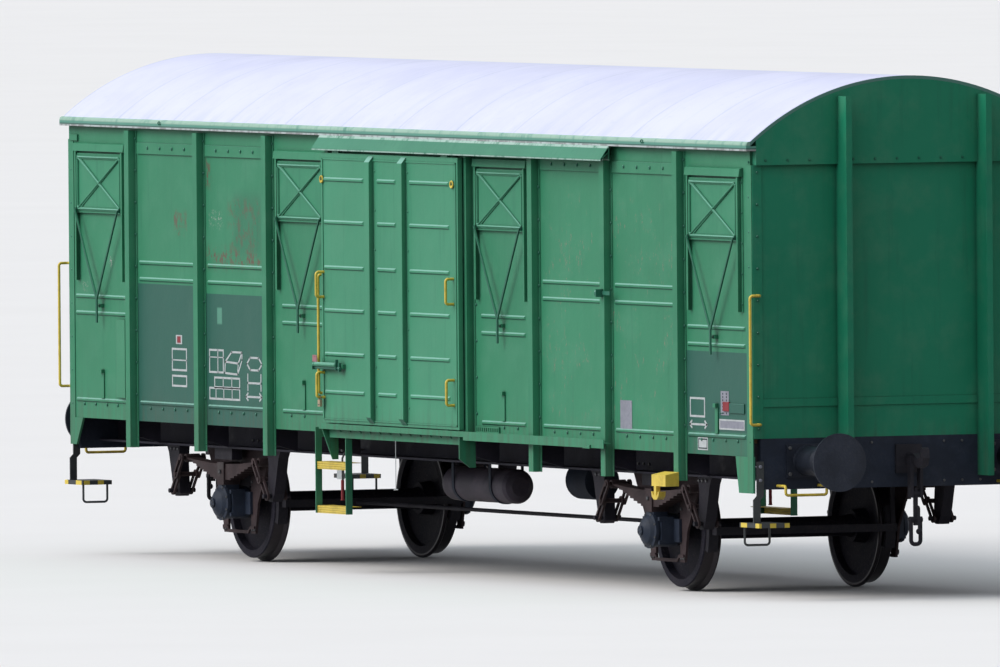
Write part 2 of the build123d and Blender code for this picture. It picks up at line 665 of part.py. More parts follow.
# Posts: hat sections on the sheets, narrower ones beside the doorway, and flat corner strips
GUSSET_THICKNESS = 12.0
# Corner gussets below the sheet: end, width at the top, width at the foot, drop below the sheet
CORNER_GUSSETS = (
    (-1, 250.0, 120.0, 218.0),
    (1, 312.0, 255.0, 282.0),
)

with BuildPart() as posts_near:
    half = POST_FACE / 2
    for place in POST_CENTRES:
        for way in (-1, 1):
            with BuildSketch(Plane(origin=(way * place, -BODY_HALF_WIDTH, POST_FOOT))):
                with BuildLine():
                    Polyline(
                        (-half - POST_FLANGE, 0),
                        (-half - POST_FLANGE, -POST_SHEET),
                        (-half - POST_SHEET, -POST_SHEET),
                        (-half, -POST_DEPTH),
                        (half, -POST_DEPTH),
                        (half + POST_SHEET, -POST_SHEET),
                        (half + POST_FLANGE, -POST_SHEET),
                        (half + POST_FLANGE, 0),
                        (half - POST_SHEET, 0),
                        (half - POST_SHEET, POST_SHEET - POST_DEPTH),
                        (POST_SHEET - half, POST_SHEET - POST_DEPTH),
                        (POST_SHEET - half, 0),
                        close=True,
                    )
                make_face()
            extrude(amount=POST_TOP - POST_FOOT)
    for way in (-1, 1):
        block(
            sorted((way * DOOR_POST_IN, way * (DOOR_POST_OUT - POST_FLANGE))),
            (-POST_OUT, -BODY_HALF_WIDTH + WALL),
            (SHEET_BOTTOM, POST_TOP),
        )
        block(
            sorted((way * (DOOR_POST_OUT - POST_FLANGE), way * DOOR_POST_OUT)),
            (-BODY_HALF_WIDTH - POST_SHEET, -BODY_HALF_WIDTH + WALL),
            (SHEET_BOTTOM, POST_TOP),
        )
        block(
            sorted((way * (BODY_HALF_LENGTH - CORNER_STRIP), way * BODY_HALF_LENGTH)),
            (-BODY_HALF_WIDTH - POST_SHEET, -BODY_HALF_WIDTH),
            (SHEET_BOTTOM, GABLE_BOTTOM),
        )
    for way, top_width, foot_width, drop in CORNER_GUSSETS:
        with BuildSketch(Plane.XZ.offset(BODY_HALF_WIDTH - GUSSET_THICKNESS)):
            with BuildLine():
                Polyline(
                    (way * (BODY_HALF_LENGTH - top_width), SHEET_BOTTOM),
                    (way * BODY_HALF_LENGTH, SHEET_BOTTOM),
                    (way * BODY_HALF_LENGTH, SHEET_BOTTOM - drop),
                    (way * (BODY_HALF_LENGTH - foot_width), SHEET_BOTTOM - drop),
                    close=True,
                )
            make_face()
        extrude(amount=GUSSET_THICKNESS + POST_SHEET)
keep(posts_near, "posts_near")

with BuildPart() as posts_far:
    add(turned(posts_near.part))
keep(posts_far, "posts_far")

# Above and below each doorway
DOOR_HEADER_OVERLAP = 20.0

with BuildPart() as door_headers:
    block(
        (-DOOR_POST_IN, DOOR_POST_IN),
        (-BODY_HALF_WIDTH, -BODY_HALF_WIDTH + WALL),
        (DOOR_TOP - DOOR_HEADER_OVERLAP, CORNICE_BOTTOM),
    )
    mirror(about=Plane.XZ)
keep(door_headers, "door_headers")

with BuildPart() as door_sills:
    block(
        (-DOOR_POST_IN, DOOR_POST_IN),
        (-POST_OUT, -BODY_HALF_WIDTH + WALL),
        (SHEET_BOTTOM, FLOOR_TOP),
    )
    mirror(about=Plane.XZ)
keep(door_sills, "door_sills")

# Ends: a sheet with proud corner strips and a cross strip, and two upright channel posts that
# stand on the headstock and reach the roof
END_POST_Y = BUFFER_SPACING - 275.0
END_POST_DEPTH = 190.0
END_POST_WEB = 8.0
END_POST_FLANGE = 50.0
END_POST_FOOT = BUFFER_HEIGHT - 140.0
END_CORNER_WIDTH = 80.0
END_CORNER_RISE = 8.0
END_STRIP_Z = FLOOR_TOP + 235.0
END_STRIP_HEIGHT = 60.0
END_STRIP_DEPTH = 10.0

for end, way in (("left", -1), ("right", 1)):
    with BuildPart() as end_wall:
        block(
            sorted((way * (BODY_HALF_LENGTH - END_WALL), way * BODY_HALF_LENGTH)),
            (-BODY_HALF_WIDTH, BODY_HALF_WIDTH),
            (HEADSTOCK_TOP, GABLE_BOTTOM),
        )
        corner = BODY_HALF_WIDTH - END_CORNER_WIDTH
        for side_sign in (-1, 1):
            block(
                sorted((way * BODY_HALF_LENGTH, way * (BODY_HALF_LENGTH + END_CORNER_RISE))),
                sorted((side_sign * corner, side_sign * BODY_HALF_WIDTH)),
                (HEADSTOCK_TOP, GABLE_BOTTOM),
            )
        strip_x = sorted((way * BODY_HALF_LENGTH, way * (BODY_HALF_LENGTH + END_STRIP_DEPTH)))
        block(strip_x, (-corner, corner), (END_STRIP_Z, END_STRIP_Z + END_STRIP_HEIGHT))
        for web_y in (-END_POST_Y, END_POST_Y):
            block(
                strip_x,
                sorted((-way * web_y, -way * web_y + way * (END_POST_FLANGE + SEAT_GAP))),
                (END_STRIP_Z, END_STRIP_Z + END_STRIP_HEIGHT),
                Mode.SUBTRACT,
            )
    keep(end_wall, f"end_wall_{end}")

ROOF_RADIUS = (ROOF_HALF_WIDTH**2 + ROOF_RISE**2) / (2 * ROOF_RISE)
ROOF_CENTRE_Z = ROOF_APEX - ROOF_RADIUS
ROOF_INNER = ROOF_RADIUS - ROOF_THICKNESS
ROOF_HALF_LENGTH = BODY_HALF_LENGTH + GABLE_PROUD


def height_at(radius, y):
    """Height of a roof arc of this radius at a place across the van."""
    return ROOF_CENTRE_Z + sqrt(radius**2 - y**2)


with BuildPart() as roof:
    with BuildSketch(Plane.YZ.offset(-ROOF_HALF_LENGTH)):
        with BuildLine():
            outer = ThreePointArc(
                (-ROOF_HALF_WIDTH, ROOF_EDGE_Z), (0, ROOF_APEX), (ROOF_HALF_WIDTH, ROOF_EDGE_Z)
            )
            inner = ThreePointArc(
                (-ROOF_HALF_WIDTH, height_at(ROOF_INNER, ROOF_HALF_WIDTH)),
                (0, ROOF_APEX - ROOF_THICKNESS),
                (ROOF_HALF_WIDTH, height_at(ROOF_INNER, ROOF_HALF_WIDTH)),
            )
            Line(outer @ 0, inner @ 0)
            Line(outer @ 1, inner @ 1)
        make_face()
    extrude(amount=2 * ROOF_HALF_LENGTH)
keep(roof, "roof")

ROOF_SEAT_Z = height_at(ROOF_INNER, ROOF_HALF_WIDTH) - SEAT_GAP
CORNICE_IN = BODY_HALF_WIDTH - WALL
GABLE_HALF_WIDTH = CORNICE_IN - SEAT_GAP
GABLE_RADIUS = ROOF_INNER - SEAT_GAP

with BuildPart() as gables:
    with BuildSketch(Plane.YZ.offset(ROOF_HALF_LENGTH - END_WALL - GABLE_PROUD)):
        with BuildLine():
            arc = ThreePointArc(
                (-GABLE_HALF_WIDTH, height_at(GABLE_RADIUS, GABLE_HALF_WIDTH)),
                (0, ROOF_CENTRE_Z + GABLE_RADIUS),
                (GABLE_HALF_WIDTH, height_at(GABLE_RADIUS, GABLE_HALF_WIDTH)),
            )
            Polyline(
                arc @ 0,
                (-GABLE_HALF_WIDTH, GABLE_BOTTOM),
                (GABLE_HALF_WIDTH, GABLE_BOTTOM),
                arc @ 1,
            )
        make_face()
    extrude(amount=END_WALL + GABLE_PROUD)
    mirror(about=Plane.YZ)
keep(gables, "gables")

with BuildPart() as end_posts:
    post_top = height_at(GABLE_RADIUS - 20.0, END_POST_Y + END_POST_FLANGE)
    back = BODY_HALF_LENGTH + SEAT_GAP
    front = BODY_HALF_LENGTH + END_POST_DEPTH
    for web_y in (-END_POST_Y, END_POST_Y):
        block((back, front), (web_y, web_y + END_POST_WEB), (END_POST_FOOT, post_top))
        for face_x in (back, front - END_POST_WEB):
            block(
                (face_x, face_x + END_POST_WEB),
                (web_y, web_y + END_POST_FLANGE),
                (END_POST_FOOT, post_top),
            )
    gable_cut = (back, BODY_HALF_LENGTH + GABLE_PROUD + SEAT_GAP)
    block(gable_cut, (-BODY_HALF_WIDTH, BODY_HALF_WIDTH), (GABLE_BOTTOM - SEAT_GAP, post_top), Mode.SUBTRACT)
    add(turned(end_posts.part))
keep(end_posts, "end_posts")

with BuildPart() as cornices:
    with BuildSketch(Plane.YZ.offset(-ROOF_HALF_LENGTH)):
        with BuildLine():
            Polyline(
                (-ROOF_HALF_WIDTH - 12.0, BODY_TOP),
                (-ROOF_HALF_WIDTH - SEAT_GAP, BODY_TOP),
                (-ROOF_HALF_WIDTH - SEAT_GAP, ROOF_SEAT_Z),
                (-CORNICE_IN, ROOF_SEAT_Z),
                (-CORNICE_IN, CORNICE_BOTTOM),
                (-BODY_HALF_WIDTH - CORNICE_OUT, CORNICE_BOTTOM),
                (-BODY_HALF_WIDTH - CORNICE_OUT, BODY_TOP - 24.0),
                (-BODY_HALF_WIDTH - CORNICE_OUT + 6.0, BODY_TOP - 8.0),
                close=True,
            )
        make_face()
    extrude(amount=2 * ROOF_HALF_LENGTH)
    mirror(about=Plane.XZ)
keep(cornices, "cornices")

# Rain hood over the door and the wall it slides along, with the door's top guide inside
HOOD_LEFT = -DOOR_HALF_WIDTH - 120.0
HOOD_RIGHT = DOOR_HALF_WIDTH + DOOR_TRAVEL + 180.0
HOOD_SHEET = 5.0
HOOD_OUT = DOOR_OUTER + 25.0
HOOD_LIP_TOP = DOOR_TOP + 35.0
HOOD_LIP_BOTTOM = DOOR_TOP + 21.0
GUIDE_LIP_BOTTOM = DOOR_TOP + 25.0
GUIDE_ROOF = DOOR_TOP + 82.0
SHOE_TOP = GUIDE_ROOF - MOVING_GAP - 5.0

with BuildPart() as hoods:
    with BuildSketch(Plane.YZ.offset(HOOD_LEFT)):
        with BuildLine():
            Polyline(
                (-POST_OUT, CORNICE_BOTTOM),
                (-POST_OUT - HOOD_SHEET, CORNICE_BOTTOM),
                (-HOOD_OUT, HOOD_LIP_TOP),
                (-HOOD_OUT, HOOD_LIP_BOTTOM),
                (-HOOD_OUT + HOOD_SHEET, HOOD_LIP_BOTTOM),
                (-HOOD_OUT + HOOD_SHEET, HOOD_LIP_TOP - 2.0),
                (-POST_OUT - HOOD_SHEET, CORNICE_BOTTOM - 10.0),
                (-POST_OUT - HOOD_SHEET, GUIDE_ROOF + HOOD_SHEET),
                (-DOOR_OUTER - MOVING_GAP, GUIDE_ROOF + HOOD_SHEET - 36.0),
                (-DOOR_OUTER - MOVING_GAP, GUIDE_LIP_BOTTOM),
                (-DOOR_OUTER - MOVING_GAP + 4.0, GUIDE_LIP_BOTTOM),
                (-DOOR_OUTER - MOVING_GAP + 4.0, GUIDE_ROOF - 38.0),
                (-POST_OUT - HOOD_SHEET, GUIDE_ROOF),
                (-POST_OUT - HOOD_SHEET, GUIDE_LIP_BOTTOM),
                (-POST_OUT, GUIDE_LIP_BOTTOM),
                close=True,
            )
        make_face()
    extrude(amount=HOOD_RIGHT - HOOD_LEFT)
    add(turned(hoods.part))
keep(hoods, "hoods")

# Door rail: a ledge the door's rollers run on, a lip in front, and a notched strip below
RAIL_LEFT = -DOOR_HALF_WIDTH - 50.0
RAIL_STEP = DOOR_HALF_WIDTH + 90.0
RAIL_RIGHT = DOOR_HALF_WIDTH + DOOR_TRAVEL + 170.0
RAIL_SHEET = 6.0
RAIL_OUT = DOOR_OUTER + MOVING_GAP + RAIL_SHEET
LIP_TOP_LEFT = TRACK_Z + 28.0
LIP_BOTTOM_LEFT = TRACK_Z - 16.0
LIP_TOP_RIGHT = TRACK_Z + 28.0
LIP_BOTTOM_RIGHT = TRACK_Z - 42.0
STRIP_BOTTOM = TRACK_Z - 84.0
# Notches in the top edge of the strip, which hang below the lip as small triangles
NOTCH_COUNT = 12
NOTCH_MARGIN = 215.0
NOTCH_PITCH = 2 * (DOOR_POST_IN - NOTCH_MARGIN) / (NOTCH_COUNT - 1)
NOTCH_TOP = TRACK_Z - RAIL_SHEET
NOTCH_DEPTH = 34.0
NOTCH_WIDTH = 0.6 * NOTCH_PITCH
# Gussets under both ends of the strip
DOOR_GUSSET_X = DOOR_POST_IN + 35.0
GUSSET_FOOT = 50.0
GUSSET_FRONT_LOW = TRACK_Z - 192.0
# Slotted rack on the wall beside the doorway, above the rail
RACK_X = (DOOR_POST_OUT + 20.0, DOOR_POST_OUT + 440.0)
RACK_Z = (TRACK_Z + 20.0, TRACK_Z + 68.0)
RACK_THICKNESS = 14.0
RACK_SLOTS = 12
SLOT_SIZE = (16.0, 30.0)

with BuildPart() as door_rails:
    block((RAIL_LEFT, RAIL_RIGHT), (-RAIL_OUT, -POST_OUT), (TRACK_Z - RAIL_SHEET, TRACK_Z))
    block((RAIL_LEFT, RAIL_STEP), (-RAIL_OUT, -RAIL_OUT + RAIL_SHEET), (LIP_BOTTOM_LEFT, LIP_TOP_LEFT))
    block((RAIL_STEP, RAIL_RIGHT), (-RAIL_OUT, -RAIL_OUT + RAIL_SHEET), (LIP_BOTTOM_RIGHT, LIP_TOP_RIGHT))
    block((-DOOR_POST_IN, DOOR_GUSSET_X), (-POST_OUT - RAIL_SHEET, -POST_OUT), (STRIP_BOTTOM, TRACK_Z))
    with BuildSketch(Plane.XZ.offset(POST_OUT)):
        for i in range(NOTCH_COUNT):
            x = -DOOR_POST_IN + NOTCH_MARGIN + NOTCH_PITCH * i
            with BuildLine():
                Polyline(
                    (x - NOTCH_WIDTH / 2, NOTCH_TOP),
                    (x + NOTCH_WIDTH / 2, NOTCH_TOP),
                    (x, NOTCH_TOP - NOTCH_DEPTH),
                    close=True,
                )
            make_face()
    extrude(amount=RAIL_SHEET, mode=Mode.SUBTRACT)
    for way, front_low in ((-1, LIP_BOTTOM_LEFT), (1, GUSSET_FRONT_LOW)):
        with BuildSketch(Plane.YZ.offset(way * DOOR_GUSSET_X - GUSSET_THICKNESS / 2)):
            with BuildLine():
                Polyline(
                    (-RAIL_OUT + RAIL_SHEET, TRACK_Z - RAIL_SHEET),
                    (-POST_OUT, TRACK_Z - RAIL_SHEET),
                    (-POST_OUT, SHEET_BOTTOM),
                    (-BODY_HALF_WIDTH + WALL, SHEET_BOTTOM),
                    (-BODY_HALF_WIDTH + WALL, POST_FOOT),
                    (-BODY_HALF_WIDTH + WALL - GUSSET_FOOT, POST_FOOT),
                    (-RAIL_OUT + RAIL_SHEET, front_low),
                    close=True,
                )
            make_face()
        extrude(amount=GUSSET_THICKNESS)
    block(RACK_X, (-BODY_HALF_WIDTH - RACK_THICKNESS, -BODY_HALF_WIDTH), RACK_Z)
    with BuildSketch(Plane.XZ.offset(BODY_HALF_WIDTH)):
        with Locations(((RACK_X[0] + RACK_X[1]) / 2, (RACK_Z[0] + RACK_Z[1]) / 2)):
            with GridLocations((RACK_X[1] - RACK_X[0]) / RACK_SLOTS, 0, RACK_SLOTS, 1):
                Rectangle(*SLOT_SIZE)
    extrude(amount=RACK_THICKNESS, mode=Mode.SUBTRACT)
    add(turned(door_rails.part))
keep(door_rails, "door_rails")

# Door stops: a rubber disc on a bracket of the post where the open door ends
STOP_Z = FLOOR_TOP + 1065.0
STOP_RADIUS = 30.0
STOP_LENGTH = 26.0
STOP_ROOM = 14.0
STOP_PLATE = 10.0
STOP_X = DOOR_HALF_WIDTH + DOOR_TRAVEL + STOP_ROOM

with BuildPart() as door_stops:
    with Locations(
        Location((STOP_X + STOP_LENGTH / 2, -DOOR_INNER - DOOR_THICKNESS / 2, STOP_Z), (0, 90, 0))
    ):
        Cylinder(STOP_RADIUS, STOP_LENGTH)
    block(
        (STOP_X + STOP_LENGTH, STOP_X + STOP_LENGTH + STOP_PLATE),
        (-DOOR_OUTER - STOP_PLATE, -POST_OUT),
        (STOP_Z - STOP_RADIUS, STOP_Z + STOP_RADIUS),
    )
    block(
        (STOP_X + STOP_LENGTH, STOP_X + STOP_LENGTH + 150.0),
        (-POST_OUT - STOP_PLATE, -POST_OUT),
        (STOP_Z - STOP_RADIUS / 2, STOP_Z + STOP_RADIUS / 2),
    )
    add(turned(door_stops.part))
keep(door_stops, "door_stops")

# Doors: a flat leaf with pressed beads in three fields and two upright hat posts
DOOR_POSTS = (-383.0, 230.0)
DOOR_POST_FACE = 90.0
DOOR_SLANT = 60.0
# Bead fields: left edge, right edge
DOOR_FIELDS = ((-1220.0, -480.0), (-220.0, 124.0), (386.0, 1120.0))
# Heights of the beads as shares of the door's height
DOOR_BEADS = (0.113, 0.254, 0.416, 0.575, 0.743, 0.902)
DOOR_HEIGHT = DOOR_TOP - DOOR_BOTTOM
ROLLER_PLACES = (-1020.0, 1020.0)
ROLLER_RADIUS = 24.0
ROLLER_HALF_WIDTH = 10.0
SHOE_HALF_LENGTH = 60.0
LATCH_X = (-1275.0, -840.0)
LATCH_Z = DOOR_BOTTOM + 450.0
LATCH_HALF = 18.0
LATCH_DEPTH = 30.0
DOOR_MIDDLE = DOOR_INNER + DOOR_THICKNESS / 2

with BuildPart() as door:
    block((-DOOR_HALF_WIDTH, DOOR_HALF_WIDTH), (-DOOR_OUTER, -DOOR_INNER), (DOOR_BOTTOM, DOOR_TOP))
    with BuildSketch(Plane.XZ.offset(DOOR_OUTER)):
        for low, high in DOOR_FIELDS:
            for share in DOOR_BEADS:
                with Locations(((low + high) / 2, DOOR_BOTTOM + share * DOOR_HEIGHT)):
                    Rectangle(high - low, BEAD_WIDTH)
    extrude(amount=BEAD_RISE, taper=45)
    for place in DOOR_POSTS:
        with BuildSketch(Plane.YZ.offset(place)):
            with BuildLine():
                Polyline(
                    (-DOOR_OUTER, DOOR_BOTTOM + 12.0),
                    (-DOOR_OUTER - DOOR_RIB, DOOR_BOTTOM + DOOR_SLANT),
                    (-DOOR_OUTER - DOOR_RIB, DOOR_TOP - DOOR_SLANT),
                    (-DOOR_OUTER, DOOR_TOP - 12.0),
                    close=True,
                )
            make_face()
        extrude(amount=DOOR_POST_FACE)
    for place in ROLLER_PLACES:
        with Locations(
            Location((place, -DOOR_MIDDLE, TRACK_Z + ROLLER_RADIUS + SEAT_GAP), (90, 0, 0))
        ):
            Cylinder(ROLLER_RADIUS, 2 * ROLLER_HALF_WIDTH)
        block(
            (place - SHOE_HALF_LENGTH, place + SHOE_HALF_LENGTH),
            (-DOOR_OUTER + 4.0, -DOOR_INNER - 4.0),
            (DOOR_TOP, SHOE_TOP - 36.0),
        )
    block(LATCH_X, (-DOOR_OUTER - LATCH_DEPTH, -DOOR_OUTER), (LATCH_Z - LATCH_HALF, LATCH_Z + LATCH_HALF))

HANDLE_RADIUS = 11.0
HANDLE_BEND = 2 * HANDLE_RADIUS
DOOR_HANDLE_OUT = DOOR_OUTER + 68.0
DOOR_HANDLE_LENGTH = 198.0
# Door handles: place along the van, low end above the door's lower edge
DOOR_HANDLES = (
    (40.0 - DOOR_HALF_WIDTH, 200.0),
    (40.0 - DOOR_HALF_WIDTH, 996.0),
    (DOOR_HALF_WIDTH - 90.0, 192.0),
    (DOOR_HALF_WIDTH - 90.0, 988.0),
)

with BuildPart() as door_handles:
    for place, above in DOOR_HANDLES:
        low = DOOR_BOTTOM + above
        high = low + DOOR_HANDLE_LENGTH
        bar(
            [
                (place, -DOOR_OUTER, low),
                (place, -DOOR_HANDLE_OUT, low),
                (place, -DOOR_HANDLE_OUT, high),
                (place, -DOOR_OUTER, high),
            ],
            HANDLE_RADIUS,
            HANDLE_BEND,
        )

for side_name, place in (("near", 0), ("far", 180)):
    with BuildPart() as leaf:
        add(door.part.rotate(Axis.Z, place))
    keep(leaf, f"door_{side_name}")
    with BuildPart() as handles:
        add(door_handles.part.rotate(Axis.Z, place))
    keep(handles, f"door_handles_{side_name}")

# Wall hatches: a shutter that slides down, with its rods and handle
SHUTTER_BACK = BODY_HALF_WIDTH + MOVING_GAP
SHUTTER_FRONT = SHUTTER_BACK + HATCH_THICKNESS
RIB_HALF_WIDTH = HATCH_HALF_WIDTH - 17.0
RIB_WIDTH = 30.0
ROD_OUT = POST_OUT - 2.0
ROD_THICKNESS = 12.0
ROD_SIZE = 16.0
HANDLE_HALF_WIDTH = 12.0
RUNNER_WIDTH = 30.0
RUNNER_HEIGHT = 50.0


def shutter():
    """One shutter in its own place: X from its middle, Y and Z as on the near side."""
    middle_z = (HATCH_BOTTOM + HATCH_TOP) / 2
    rib_height = (HATCH_TOP - HATCH_BOTTOM) / 2 - 17.0
    with BuildPart() as panel:
        block(
            (-HATCH_HALF_WIDTH, HATCH_HALF_WIDTH),
            (-SHUTTER_FRONT, -SHUTTER_BACK),
            (HATCH_BOTTOM, HATCH_TOP),
        )
        with BuildSketch(Plane.XZ.offset(SHUTTER_FRONT)):
            with Locations((0, middle_z)):
                Rectangle(2 * RIB_HALF_WIDTH, 2 * rib_height)
                Rectangle(
                    2 * (RIB_HALF_WIDTH - RIB_WIDTH), 2 * (rib_height - RIB_WIDTH), mode=Mode.SUBTRACT
                )
            tilt = degrees(atan2(rib_height, RIB_HALF_WIDTH))
            length = 2 * sqrt(RIB_HALF_WIDTH**2 + rib_height**2) - 3 * RIB_WIDTH
            for angle in (tilt, -tilt):
                with Locations(Location((0, middle_z, 0), (0, 0, angle))):
                    Rectangle(length, RIB_WIDTH)
        extrude(amount=HATCH_RIB)
        with BuildSketch(Plane.XZ.offset(ROD_OUT - ROD_THICKNESS)):
            for way in (-1, 1):
                with BuildLine():
                    Polyline(
                        (way * (RIB_HALF_WIDTH - ROD_SIZE), HATCH_BOTTOM + 30.0),
                        (way * RIB_HALF_WIDTH, HATCH_BOTTOM + 30.0),
                        (way * HANDLE_HALF_WIDTH, ROD_APEX),
                        (way * HANDLE_HALF_WIDTH, HANDLE_END),
                        (0, HANDLE_END),
                        (0, ROD_APEX + 30.0),
                        close=True,
                    )
                make_face()
        extrude(amount=ROD_THICKNESS)
        for way in (-1, 1):
            for runner_z in (HATCH_BOTTOM, HATCH_TOP - RUNNER_HEIGHT):
                block(
                    sorted((way * (HATCH_HALF_WIDTH - RUNNER_WIDTH), way * HATCH_HALF_WIDTH)),
                    (-SHUTTER_BACK, -BODY_HALF_WIDTH - SEAT_GAP),
                    (runner_z, runner_z + RUNNER_HEIGHT),
                )
            block(
                sorted((way * (RIB_HALF_WIDTH - ROD_SIZE), way * RIB_HALF_WIDTH)),
                (-ROD_OUT + ROD_THICKNESS, -SHUTTER_FRONT),
                (HATCH_BOTTOM + 8.0, HATCH_BOTTOM + 40.0),
            )
    return panel.part


PANEL = shutter()
# Names of the hatches on the near side, from left to right, and of the same ones turned
HATCH_NAMES = ("outer_left", "inner_left", "inner_right", "outer_right")
for name, far_name, centre in zip(HATCH_NAMES, reversed(HATCH_NAMES), HATCH_CENTRES):
    with BuildPart() as hatch:
        add(PANEL.moved(Location((centre, 0, 0))))
    keep(hatch, f"hatch_near_{name}")
    with BuildPart() as far_hatch:
        add(turned(hatch.part))
    keep(far_hatch, f"hatch_far_{far_name}")

# Guides that the shutters slide in, and a rain ledge above each
GUIDE_WEB_IN = HATCH_HALF_WIDTH + MOVING_GAP + 1.0
GUIDE_SHEET = 8.0
GUIDE_OUT = SHUTTER_FRONT + MOVING_GAP + 6.0
LEDGE_BOTTOM = HATCH_TOP + 17.0
LEDGE_TOP = HATCH_TOP + 87.0
LEDGE_OUT = BODY_HALF_WIDTH + 40.0
LEDGE_LEAN = 10.0
# Below each hatch: a catch for the raised handle, one for the lowered handle and a flat bar
CATCH_HALF_WIDTH = 22.0
CATCH_HEIGHT = 30.0
CATCH_DEPTH = 30.0
UPPER_CATCH_Z = ROD_APEX - 71.0
LOWER_CATCH_Z = UPPER_CATCH_Z - HATCH_TRAVEL
STAY_HALF_WIDTH = 25.0
STAY_THICKNESS = 10.0
STAY_Z = (SHEET_FOLD + BEAD_WIDTH / 2, LOWER_CATCH_Z)

with BuildPart() as hatch_guides_near:
    for centre in HATCH_CENTRES:
        for way in (-1, 1):
            with BuildSketch(Plane(origin=(centre, 0, GUIDE_BOTTOM))):
                with BuildLine():
                    Polyline(
                        (way * GUIDE_HALF_WIDTH, -BODY_HALF_WIDTH),
                        (way * GUIDE_WEB_IN, -BODY_HALF_WIDTH),
                        (way * GUIDE_WEB_IN, -GUIDE_OUT + 6.0),
                        (way * (GUIDE_WEB_IN - 16.0), -GUIDE_OUT + 6.0),
                        (way * (GUIDE_WEB_IN - 16.0), -GUIDE_OUT),
                        (way * (GUIDE_WEB_IN + GUIDE_SHEET), -GUIDE_OUT),
                        (way * (GUIDE_WEB_IN + GUIDE_SHEET), -BODY_HALF_WIDTH - POST_SHEET),
                        (way * GUIDE_HALF_WIDTH, -BODY_HALF_WIDTH - POST_SHEET),
                        close=True,
                    )
                make_face()
            extrude(amount=GUIDE_TOP - GUIDE_BOTTOM)
        for catch_z in (UPPER_CATCH_Z, LOWER_CATCH_Z):
            block(
                (centre - CATCH_HALF_WIDTH, centre + CATCH_HALF_WIDTH),
                (-BODY_HALF_WIDTH - CATCH_DEPTH, -BODY_HALF_WIDTH),
                (catch_z, catch_z + CATCH_HEIGHT),
            )
        block(
            (centre - STAY_HALF_WIDTH, centre + STAY_HALF_WIDTH),
            (-BODY_HALF_WIDTH - STAY_THICKNESS, -BODY_HALF_WIDTH),
            STAY_Z,
        )
        with BuildSketch(Plane.YZ.offset(centre - GUIDE_HALF_WIDTH)):
            with BuildLine():
                Polyline(
                    (-BODY_HALF_WIDTH, LEDGE_TOP),
                    (-LEDGE_OUT + LEDGE_LEAN, LEDGE_TOP - LEDGE_LEAN),
                    (-LEDGE_OUT, LEDGE_BOTTOM),
                    (-BODY_HALF_WIDTH, LEDGE_BOTTOM),
                    close=True,
                )
            make_face()
        extrude(amount=2 * GUIDE_HALF_WIDTH)
keep(hatch_guides_near, "hatch_guides_near")

with BuildPart() as hatch_guides_far:
    add(turned(hatch_guides_near.part))
keep(hatch_guides_far, "hatch_guides_far")

# Grab rails at the corners and beside the door
CORNER_RAIL_X = BODY_HALF_LENGTH + 80.0
CORNER_RAIL_Y = BODY_HALF_WIDTH + 60.0
CORNER_RAIL_FOOT = BODY_HALF_WIDTH - 30.0
CORNER_RAIL_LOW = FLOOR_TOP + 100.0
CORNER_RAIL_HIGH = FLOOR_TOP + 1095.0
DOOR_RAIL_X = DOOR_POST_OUT - 15.0
DOOR_RAIL_Y = POST_OUT + 56.0
DOOR_RAIL_LOW = FLOOR_TOP + 165.0
DOOR_RAIL_HIGH = FLOOR_TOP + 1105.0

with BuildPart() as grab_rails:
    for way in (-1, 1):
        foot = (way * (BODY_HALF_LENGTH + END_CORNER_RISE), -CORNER_RAIL_FOOT)
        elbow = (way * CORNER_RAIL_X, -CORNER_RAIL_FOOT)
        grip = (way * CORNER_RAIL_X, -CORNER_RAIL_Y)
        bar(
            [
                (*foot, CORNER_RAIL_LOW),
                (*elbow, CORNER_RAIL_LOW),
                (*grip, CORNER_RAIL_LOW),
                (*grip, CORNER_RAIL_HIGH),
                (*elbow, CORNER_RAIL_HIGH),
                (*foot, CORNER_RAIL_HIGH),
            ],
            HANDLE_RADIUS,
            HANDLE_BEND,
        )
    bar(
        [
            (-DOOR_RAIL_X, -BODY_HALF_WIDTH - POST_SHEET, DOOR_RAIL_LOW),
            (-DOOR_RAIL_X, -DOOR_RAIL_Y, DOOR_RAIL_LOW),
            (-DOOR_RAIL_X, -DOOR_RAIL_Y, DOOR_RAIL_HIGH),
            (-DOOR_RAIL_X, -BODY_HALF_WIDTH - POST_SHEET, DOOR_RAIL_HIGH),
        ],
        HANDLE_RADIUS,
        HANDLE_BEND,
    )
    add(turned(grab_rails.part))
keep(grab_rails, "grab_rails")

# Shunters' handles under the buffers
SHUNTER_X = HEADSTOCK_FACE + 150.0
SHUNTER_Z = BUFFER_HEIGHT - 260.0
SHUNTER_ROOT_Z = BUFFER_HEIGHT - 190.0
SHUNTER_Y = (BUFFER_SPACING + 245.0, BUFFER_SPACING - 105.0)

with BuildPart() as buffer_handles:
    for way in (-1, 1):
        bar(
            [
                (way * HEADSTOCK_FACE, -SHUNTER_Y[0], SHUNTER_ROOT_Z),
                (way * SHUNTER_X, -SHUNTER_Y[0], SHUNTER_ROOT_Z),
                (way * SHUNTER_X, -SHUNTER_Y[0], SHUNTER_Z),
                (way * SHUNTER_X, -SHUNTER_Y[1], SHUNTER_Z),
                (way * SHUNTER_X, -SHUNTER_Y[1], SHUNTER_ROOT_Z),
                (way * HEADSTOCK_FACE, -SHUNTER_Y[1], SHUNTER_ROOT_Z),
            ],
            HANDLE_RADIUS,
            HANDLE_BEND,
        )
    mirror(about=Plane.XZ)
keep(buffer_handles, "buffer_handles")

